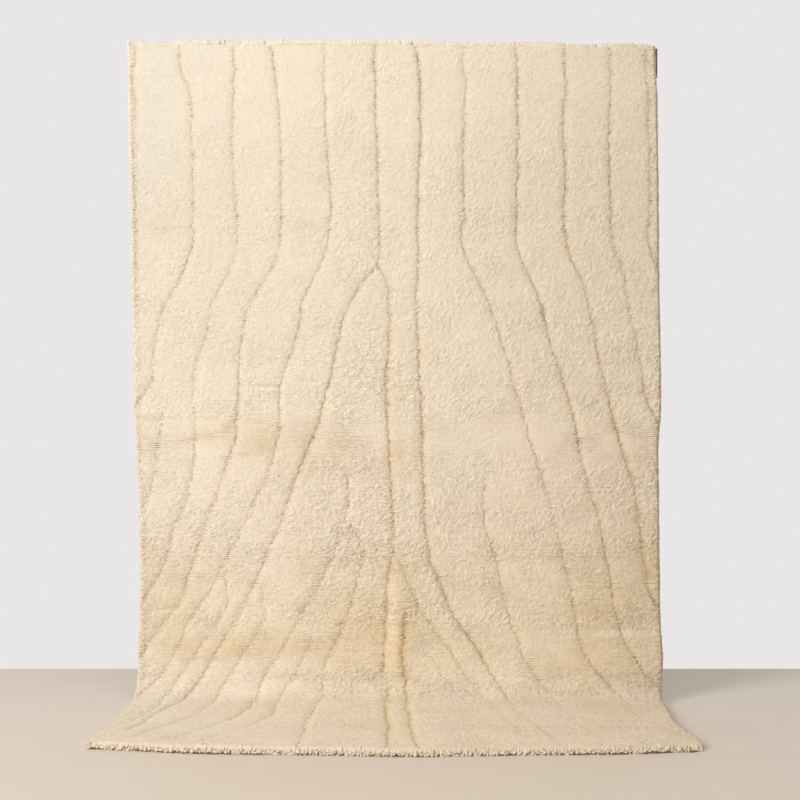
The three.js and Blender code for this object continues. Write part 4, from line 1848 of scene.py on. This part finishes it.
def new_group(name: str, inputs: dict[str, str], outputs: dict[str, str]) -> tuple[NodeSheet, dict, dict]:
    """Starts a shader node group.

    Args:
        name: the group's name.
        inputs: socket type by input name.
        outputs: socket type by output name.

    Returns:
        The group's sheet, its input sockets by name and its output sockets by name.
    """
    group = bpy.data.node_groups.new(name, "ShaderNodeTree")
    for side, sockets in (("INPUT", inputs), ("OUTPUT", outputs)):
        for label, kind in sockets.items():
            group.interface.new_socket(name=label, in_out=side, socket_type=kind)
    sheet = NodeSheet(group)
    start, end = sheet.node("NodeGroupInput"), sheet.node("NodeGroupOutput")
    given = {label: start.outputs[label] for label in inputs}
    return sheet, given, {label: end.inputs[label] for label in outputs}


def new_material(name: str) -> tuple[Material, NodeSheet, bpy.types.Node]:
    """Starts a material.

    Args:
        name: the material's name.

    Returns:
        The material, its sheet and its shader.
    """
    material = bpy.data.materials.new(name)
    material.use_nodes = True
    return material, NodeSheet(material.node_tree), material.node_tree.nodes["Principled BSDF"]


def knot_rows_group() -> Tree:
    """The group that draws the rows of knots, which break off here and there.

    Returns:
        The group's tree.
    """
    sheet, given, result = new_group(
        "knot_rows",
        dict.fromkeys(("Across", "Along", "Crest"), "NodeSocketFloat"),
        dict.fromkeys(("Rows", "Gaps"), "NodeSocketFloat"),
    )
    cloth = sheet.cloth(given["Across"], given["Along"])
    whole = sheet.step(sheet.noise(cloth, size=(0.034, 0.0075), detail=1.0), low=0.32, high=0.58)
    rows = sheet.math("MULTIPLY", given["Crest"], whole)
    sheet.link(rows, result["Rows"])
    sheet.link(sheet.step(rows, low=-0.1, high=-0.9), result["Gaps"])
    return sheet.tree


def wool_tone_group() -> Tree:
    """The group that colours wool from root to tip, partly the roots' tan and partly painted shade, with
    warm patches, tan lines with painted shade, and uneven yarn with painted light and shade.

    Returns:
        The group's tree.
    """
    colours = dict.fromkeys(("Root", "Middle", "Tip", "Warm", "Line"), "NodeSocketColor")
    numbers = dict.fromkeys(("Rise", "Strand", "Warmth", "Slit", "Unevenness"), "NodeSocketFloat")
    sheet, given, result = new_group("wool_tone", colours | numbers, {"Colour": "NodeSocketColor"})
    low = sheet.mix(sheet.step(given["Rise"], low=0.0, high=0.34), given["Root"], given["Middle"])
    colour = sheet.mix(sheet.step(given["Rise"], low=0.3, high=1.0), low, given["Tip"])
    lined = sheet.mix(given["Slit"], colour, given["Line"])
    warmed = sheet.mix(given["Warmth"], lined, given["Warm"], "MULTIPLY")
    mottle = sheet.node("TexNoise", Scale=7.0, Detail=5.0, Roughness=0.6, Vector=sheet.place())
    # Uneven yarn, carrying the painted light and shade of the cloth too.
    uneven = sheet.math("SUBTRACT", sheet.math("ADD", mottle.outputs["Fac"], given["Strand"]), 1.0)
    value = sheet.math("MULTIPLY_ADD", uneven, given["Unevenness"], 1.0)
    toned = sheet.node("HueSaturation", Value=value, Color=warmed)
    sheet.link(toned.outputs["Color"], result["Colour"])
    return sheet.tree


def wool_fibre_group() -> Tree:
    """The group that gives wool its locks, small curls and fine fibres, as a height.

    Returns:
        The group's tree.
    """
    lock_size = (0.016, 0.0046)
    row_height = 0.26
    names = ("Across", "Along", "Ruffle", "Rows", "Rowing", "Size", "Curl", "Locks")
    sheet, given, result = new_group(
        "wool_fibre", dict.fromkeys(names, "NodeSocketFloat"), {"Height": "NodeSocketFloat"}
    )
    cloth = sheet.cloth(given["Across"], given["Along"])
    locks = sheet.node(
        "Mix",
        data_type="FLOAT",
        Factor=sheet.step(given["Across"], low=-0.06, high=0.22),
        A=sheet.noise(cloth, lock_size, turn=0.12, wander=0.6),
        B=sheet.noise(cloth, lock_size, turn=0.76, wander=0.4),
    )
    strength = sheet.math("MULTIPLY", given["Ruffle"], given["Locks"])
    locked = sheet.math("MULTIPLY", locks.outputs["Result"], strength)
    fibre = sheet.node("TexNoise", Detail=4.0, Roughness=0.7, Distortion=1.2, Vector=cloth)
    sheet.link(given["Size"], fibre.inputs["Scale"])
    coarser = sheet.math("MULTIPLY", given["Size"], 0.5)
    curl = sheet.node("TexNoise", Detail=2.0, Roughness=0.5, Vector=cloth, Scale=coarser)
    fine = sheet.math("MULTIPLY_ADD", curl.outputs["Fac"], given["Curl"], fibre.outputs["Fac"])
    rowing = sheet.math("MULTIPLY", given["Rowing"], row_height)
    rowed = sheet.math("MULTIPLY_ADD", given["Rows"], rowing, fine)
    sheet.link(sheet.math("ADD", rowed, locked), result["Height"])
    return sheet.tree


@dataclass(frozen=True)
class WoolGroups:
    """The node groups that every wool shares."""

    tone: Tree
    fibre: Tree
    rows: Tree


@dataclass(frozen=True)
class WoolFinish:
    """Matt wool, told by the colour of its roots, its middle, its tips and its warm patches; the roots'
    colour also serves as painted shade.
    """

    name: str
    root: Colour
    middle: Colour
    tip: Colour
    warm: Colour = (0.80, 0.665, 0.465)
    # The roots' tan in the carved lines, also used as painted shade between the rows, in the streaks'
    # troughs and below the upper edge.
    line: Colour = (0.56, 0.395, 0.22)
    dotting: float = 0.75
    row_shade: float = 0.25
    unevenness: float = 0.1
    fibre_size: float = 420.0
    curl: float = 1.2
    locks: float = 1.5
    bump: float = 1.0
    bump_depth: float = 0.0014
    roughness: float = 0.94
    sheen: float = 0.25
    sheen_roughness: float = 0.6
    gloss: float = 0.12
    ribs: Pair | None = None
    rib_strength: float = 0.9
    rib_depth: float = 0.0012
    rib_gap: float = 0.18
    rib_softness: float = 0.8
    low_rib: float = 0.75

    def build(self, groups: WoolGroups) -> Material:
        """Makes the material.

        Args:
            groups: the node groups that every wool shares.

        Returns:
            The material.
        """
        material, sheet, shader = new_material(self.name)
        shader.inputs["Roughness"].default_value = self.roughness
        shader.inputs["Sheen Weight"].default_value = self.sheen
        shader.inputs["Sheen Roughness"].default_value = self.sheen_roughness
        shader.inputs["Specular IOR Level"].default_value = self.gloss
        cloth = {"Across": sheet.attribute("across"), "Along": sheet.attribute("along")}
        knots = sheet.node("Group", node_tree=groups.rows, Crest=sheet.attribute("crest"), **cloth)
        rows, gaps, rowing = knots.outputs["Rows"], knots.outputs["Gaps"], sheet.attribute("rowing")
        dotted = sheet.math("MULTIPLY_ADD", gaps, self.dotting, 1 - self.dotting)
        # Painted shade in the gaps between the rows of knots.
        between = sheet.math("MULTIPLY", sheet.math("MULTIPLY", gaps, rowing), self.row_shade)
        tones = {"Root": self.root, "Middle": self.middle, "Tip": self.tip}
        tones |= {"Warm": self.warm, "Line": self.line}
        colour = sheet.node(
            "Group",
            node_tree=groups.tone,
            Unevenness=self.unevenness,
            Rise=sheet.attribute("rise"),
            Strand=sheet.attribute("strand"),
            Warmth=sheet.attribute("warmth"),
            Slit=sheet.math("MULTIPLY_ADD", sheet.attribute("slit"), dotted, between),
            **{label: opaque(value) for label, value in tones.items()},
        )
        sheet.link(colour.outputs["Colour"], shader.inputs["Base Color"])
        fine = sheet.node(
            "Group",
            node_tree=groups.fibre,
            Size=self.fibre_size,
            Curl=self.curl,
            Locks=self.locks,
            Ruffle=sheet.attribute("ruffle"),
            Rowing=rowing,
            Rows=rows,
            **cloth,
        )
        normal = sheet.bump(fine.outputs["Height"], self.bump, self.bump_depth)
        if self.ribs is not None:
            normal = sheet.bump(self._ribbed(sheet), self.rib_strength, self.rib_depth, Normal=normal)
        sheet.link(normal, shader.inputs["Normal"])
        return material

    def _ribbed(self, sheet: NodeSheet) -> Socket:
        """Rows of knots or wefts, as a height.

        Args:
            sheet: the material's sheet.

        Returns:
            The source of the height.
        """
        wide, high = self.ribs
        turned = sheet.node("Mapping", Rotation=(math.pi / 2, 0, 0), Vector=sheet.place())
        bricks = sheet.node(
            "TexBrick",
            Vector=turned.outputs["Vector"],
            Scale=1.0,
            Color1=opaque((1, 1, 1)),
            Color2=opaque((self.low_rib,) * 3),
            Mortar=opaque((0, 0, 0)),
            Mortar_Size=high * self.rib_gap,
            Mortar_Smooth=self.rib_softness,
            Brick_Width=wide,
            Row_Height=high,
        )
        return bricks.outputs["Color"]


PILE_WOOL = WoolFinish(
    "pile_wool", root=(0.70, 0.56, 0.39), middle=(0.83, 0.73, 0.58), tip=(0.88, 0.80, 0.67)
)
BODY_WOOL = WoolFinish(
    "pile_body_wool", root=(0.52, 0.38, 0.23), middle=(0.78, 0.67, 0.51), tip=(0.86, 0.76, 0.60), bump=0.6
)
BAND_WOOL = WoolFinish(
    "band_wool",
    root=(0.5, 0.38, 0.24), middle=(0.74, 0.64, 0.48), tip=(0.80, 0.71, 0.55),
    ribs=(0.0042, 0.0026), bump=0.3,
)
BACK_WOOL = WoolFinish(
    "back_wool",
    root=(0.5, 0.4, 0.28), middle=(0.70, 0.61, 0.47), tip=(0.78, 0.70, 0.56),
    ribs=(0.0094, 0.0086), rib_depth=0.0025, bump=0.4,
)
FRINGE_WOOL = WoolFinish(
    "fringe_wool",
    root=(0.36, 0.22, 0.11), middle=(0.80, 0.69, 0.52), tip=(0.87, 0.78, 0.63),
    warm=(0.56, 0.38, 0.22), bump=0.6,
)


@dataclass(frozen=True)
class WoodFinish:
    """Planed brown wood with grain along the rail."""

    name: str = "rail_wood"
    dark: Colour = (0.13, 0.065, 0.03)
    light: Colour = (0.30, 0.17, 0.09)
    tone_reach: Pair = (0.32, 0.68)
    roughness: Pair = (0.68, 0.5)
    stretch: tuple[float, float, float] = (1.6, 26.0, 26.0)
    bump: float = 0.35
    bump_depth: float = 0.0008

    def build(self) -> Material:
        """Makes the material.

        Returns:
            The material.
        """
        material, sheet, shader = new_material(self.name)
        place = sheet.stretched(self.stretch)
        grain = sheet.node("TexNoise", Scale=3.0, Detail=8.0, Roughness=0.62, Distortion=0.6, Vector=place)
        grain = grain.outputs["Fac"]
        sheet.link(sheet.ramp(grain, self.tone_reach, (self.dark, self.light)), shader.inputs["Base Color"])
        sheet.link(sheet.spread(grain, *self.roughness), shader.inputs["Roughness"])
        sheet.link(sheet.bump(grain, self.bump, self.bump_depth), shader.inputs["Normal"])
        return material


@dataclass(frozen=True)
class TackFinish:
    """Dark steel, dulled and a little worn."""

    name: str = "tack_steel"
    dark: Colour = (0.16, 0.13, 0.11)
    worn: Colour = (0.36, 0.27, 0.2)
    tone_reach: Pair = (0.4, 0.75)
    roughness: Pair = (0.3, 0.6)
    metallic: float = 0.85

    def build(self) -> Material:
        """Makes the material.

        Returns:
            The material.
        """
        material, sheet, shader = new_material(self.name)
        shader.inputs["Metallic"].default_value = self.metallic
        wear = sheet.node("TexNoise", Scale=900.0, Detail=4.0, Vector=sheet.place()).outputs["Fac"]
        sheet.link(sheet.ramp(wear, self.tone_reach, (self.dark, self.worn)), shader.inputs["Base Color"])
        sheet.link(sheet.spread(wear, *self.roughness), shader.inputs["Roughness"])
        return material


@dataclass(frozen=True)
class Lamp:
    """A soft area light that looks at a point, in metres."""

    name: str
    place: tuple[float, float, float]
    target: tuple[float, float, float]
    size: float
    power: float
    colour: Colour = (1.0, 0.98, 0.95)

    def build(self) -> None:
        """Makes the light."""
        data = bpy.data.lights.new(self.name, "AREA")
        data.shape = "DISK"
        data.size = self.size
        data.energy = self.power
        data.color = self.colour
        lamp = bpy.data.objects.new(self.name, data)
        lamp.location = self.place
        lamp.rotation_euler = (Vector(self.target) - Vector(self.place)).to_track_quat("-Z", "Y").to_euler()
        bpy.context.scene.collection.objects.link(lamp)


LAMPS = (
    Lamp("key", place=(-7.0, -6.4, 2.2), target=(0.0, 0.0, -1.2), size=4.4, power=770),
    Lamp("ceiling", place=(0.3, -2.6, 3.4), target=(0.0, -0.4, -2.0), size=4.0, power=90),
)


@dataclass
class Studio:
    """The plain pale floor, the soft light and the camera."""

    floor: float
    floor_behind: float = 0.57
    floor_size: float = 12.0
    floor_colour: Colour = (0.70, 0.62, 0.53)
    floor_shade: float = 0.93
    floor_roughness: float = 0.55
    floor_stretch: tuple[float, float, float] = (0.6, 9.0, 1.0)
    wall_air: Colour = (0.82, 0.795, 0.80)
    room_air: Colour = (0.27, 0.262, 0.256)
    wall_air_starts: Pair = (-0.1, 0.6)
    camera_place: tuple[float, float, float] = (0.024, -5.060, -1.279)
    camera_lens: float = 59.625
    camera_sensor: float = 36

    def build(self) -> None:
        """Makes the floor, the lights, the air round the object and the camera."""
        self._floor()
        for lamp in LAMPS:
            lamp.build()
        self._air()
        camera = bpy.data.cameras.new("camera")
        camera.lens = self.camera_lens
        camera.sensor_width = self.camera_sensor
        eye = bpy.data.objects.new("camera", camera)
        eye.location = self.camera_place
        eye.rotation_euler = (math.pi / 2, 0, 0)
        bpy.context.scene.collection.objects.link(eye)
        bpy.context.scene.camera = eye

    def _floor(self) -> None:
        """A plain floor that ends a little behind the rug."""
        half, back = self.floor_size / 2, self.floor_behind
        front = back - self.floor_size
        corners = [(-half, front), (half, front), (half, back), (-half, back)]
        mesh = bpy.data.meshes.new("floor")
        mesh.from_pydata([(x, y, self.floor) for x, y in corners], [], [(0, 1, 2, 3)])
        material, sheet, shader = new_material("floor")
        shader.inputs["Roughness"].default_value = self.floor_roughness
        tone = sheet.node("TexNoise", Scale=2.0, Detail=4.0, Vector=sheet.stretched(self.floor_stretch))
        shaded = tuple(value * self.floor_shade for value in self.floor_colour)
        colour = sheet.mix(tone.outputs["Fac"], opaque(self.floor_colour), opaque(shaded))
        sheet.link(colour, shader.inputs["Base Color"])
        mesh.materials.append(material)
        floor = bpy.data.objects.new("floor", mesh)
        bpy.context.scene.collection.objects.link(floor)

    def _air(self) -> None:
        """The pale air round the object, brightest behind it."""
        world = bpy.data.worlds.new("air")
        world.use_nodes = True
        sheet = NodeSheet(world.node_tree)
        axes = sheet.node("SeparateXYZ", Vector=sheet.node("TexCoord").outputs["Generated"])
        behind = sheet.step(axes.outputs["Y"], *self.wall_air_starts)
        colour = sheet.mix(behind, opaque(self.room_air), opaque(self.wall_air))
        sheet.link(colour, world.node_tree.nodes["Background"].inputs["Color"])
        bpy.context.scene.world = world


class HungRug:
    """The rug on its rail, put together from its pieces."""

    FLAT = (2.0, 3.2)
    TACKS = 8
    TACK_ROOM = 3

    def __init__(self) -> None:
        """Reads the rail and the floor from the frame."""
        rail_low, rail_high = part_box("rail")
        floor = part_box("rug")[0].z
        self.run = ClothRun(
            rail_top=rail_high.z / MM, rail_depth=(rail_high.y - rail_low.y) / MM, floor=floor / MM
        )
        tacks = [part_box(f"tack_{number + 1}") for number in range(self.TACKS)]
        middles = tuple((low.x + high.x) / 2 / MM for low, high in tacks)
        self.clear = [(low.x / MM - self.TACK_ROOM, high.x / MM + self.TACK_ROOM) for low, high in tacks]
        carving = Carving(self.run, CarveField(CARVED_LINES, LineWalk()))
        self.relief = PileRelief(self.run, carving, WoolWarmth(carving), middles)
        self.groups = WoolGroups(wool_tone_group(), wool_fibre_group(), knot_rows_group())

    def build(self) -> list[Piece]:
        """Makes every piece, hides the nodes that it replaces and dresses the nodes that stay.

        Returns:
            The new pieces.
        """
        sheet = RugSheet(self.run, self.relief).build(
            [finish.build(self.groups) for finish in (BODY_WOOL, BAND_WOOL, BACK_WOOL)]
        )
        wool = PILE_WOOL.build(self.groups)
        pile = PileFace(self.run, self.relief).build(wool)
        pile.append(RimLocks(self.run, self.relief, self.clear).build(wool))
        fringe = FrontFringe(self.run).build(FRINGE_WOOL.build(self.groups))
        for piece in (sheet, *pile, fringe):
            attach(piece, BODY)
        for piece in (sheet, *pile):
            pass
        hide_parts("rug")
        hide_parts("front_fringe")
        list(pile)
        self._dress("rail", WoodFinish().build())
        steel = TackFinish().build()
        for number in range(self.TACKS):
            self._dress(f"tack_{number + 1}", steel)
        return [sheet, *pile, fringe]

    def _dress(self, node: str, material: Material) -> None:
        """Gives a node that stays its finish.

        Args:
            node: the node's name.
            material: its finish.
        """
        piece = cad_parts[node]
        piece.data.materials.clear()
        piece.data.materials.append(material)


def main() -> None:
    """Builds the studio and the rug."""
    logging.basicConfig(level=logging.INFO, format="%(name)s: %(message)s")
    bpy.context.scene.view_settings.view_transform = "Standard"
    Studio(floor=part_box("rug")[0].z).build()
    for piece in HungRug().build():
        log.info("%s rides on %s", piece.name, BODY)


if __name__ == "__main__":
    main()
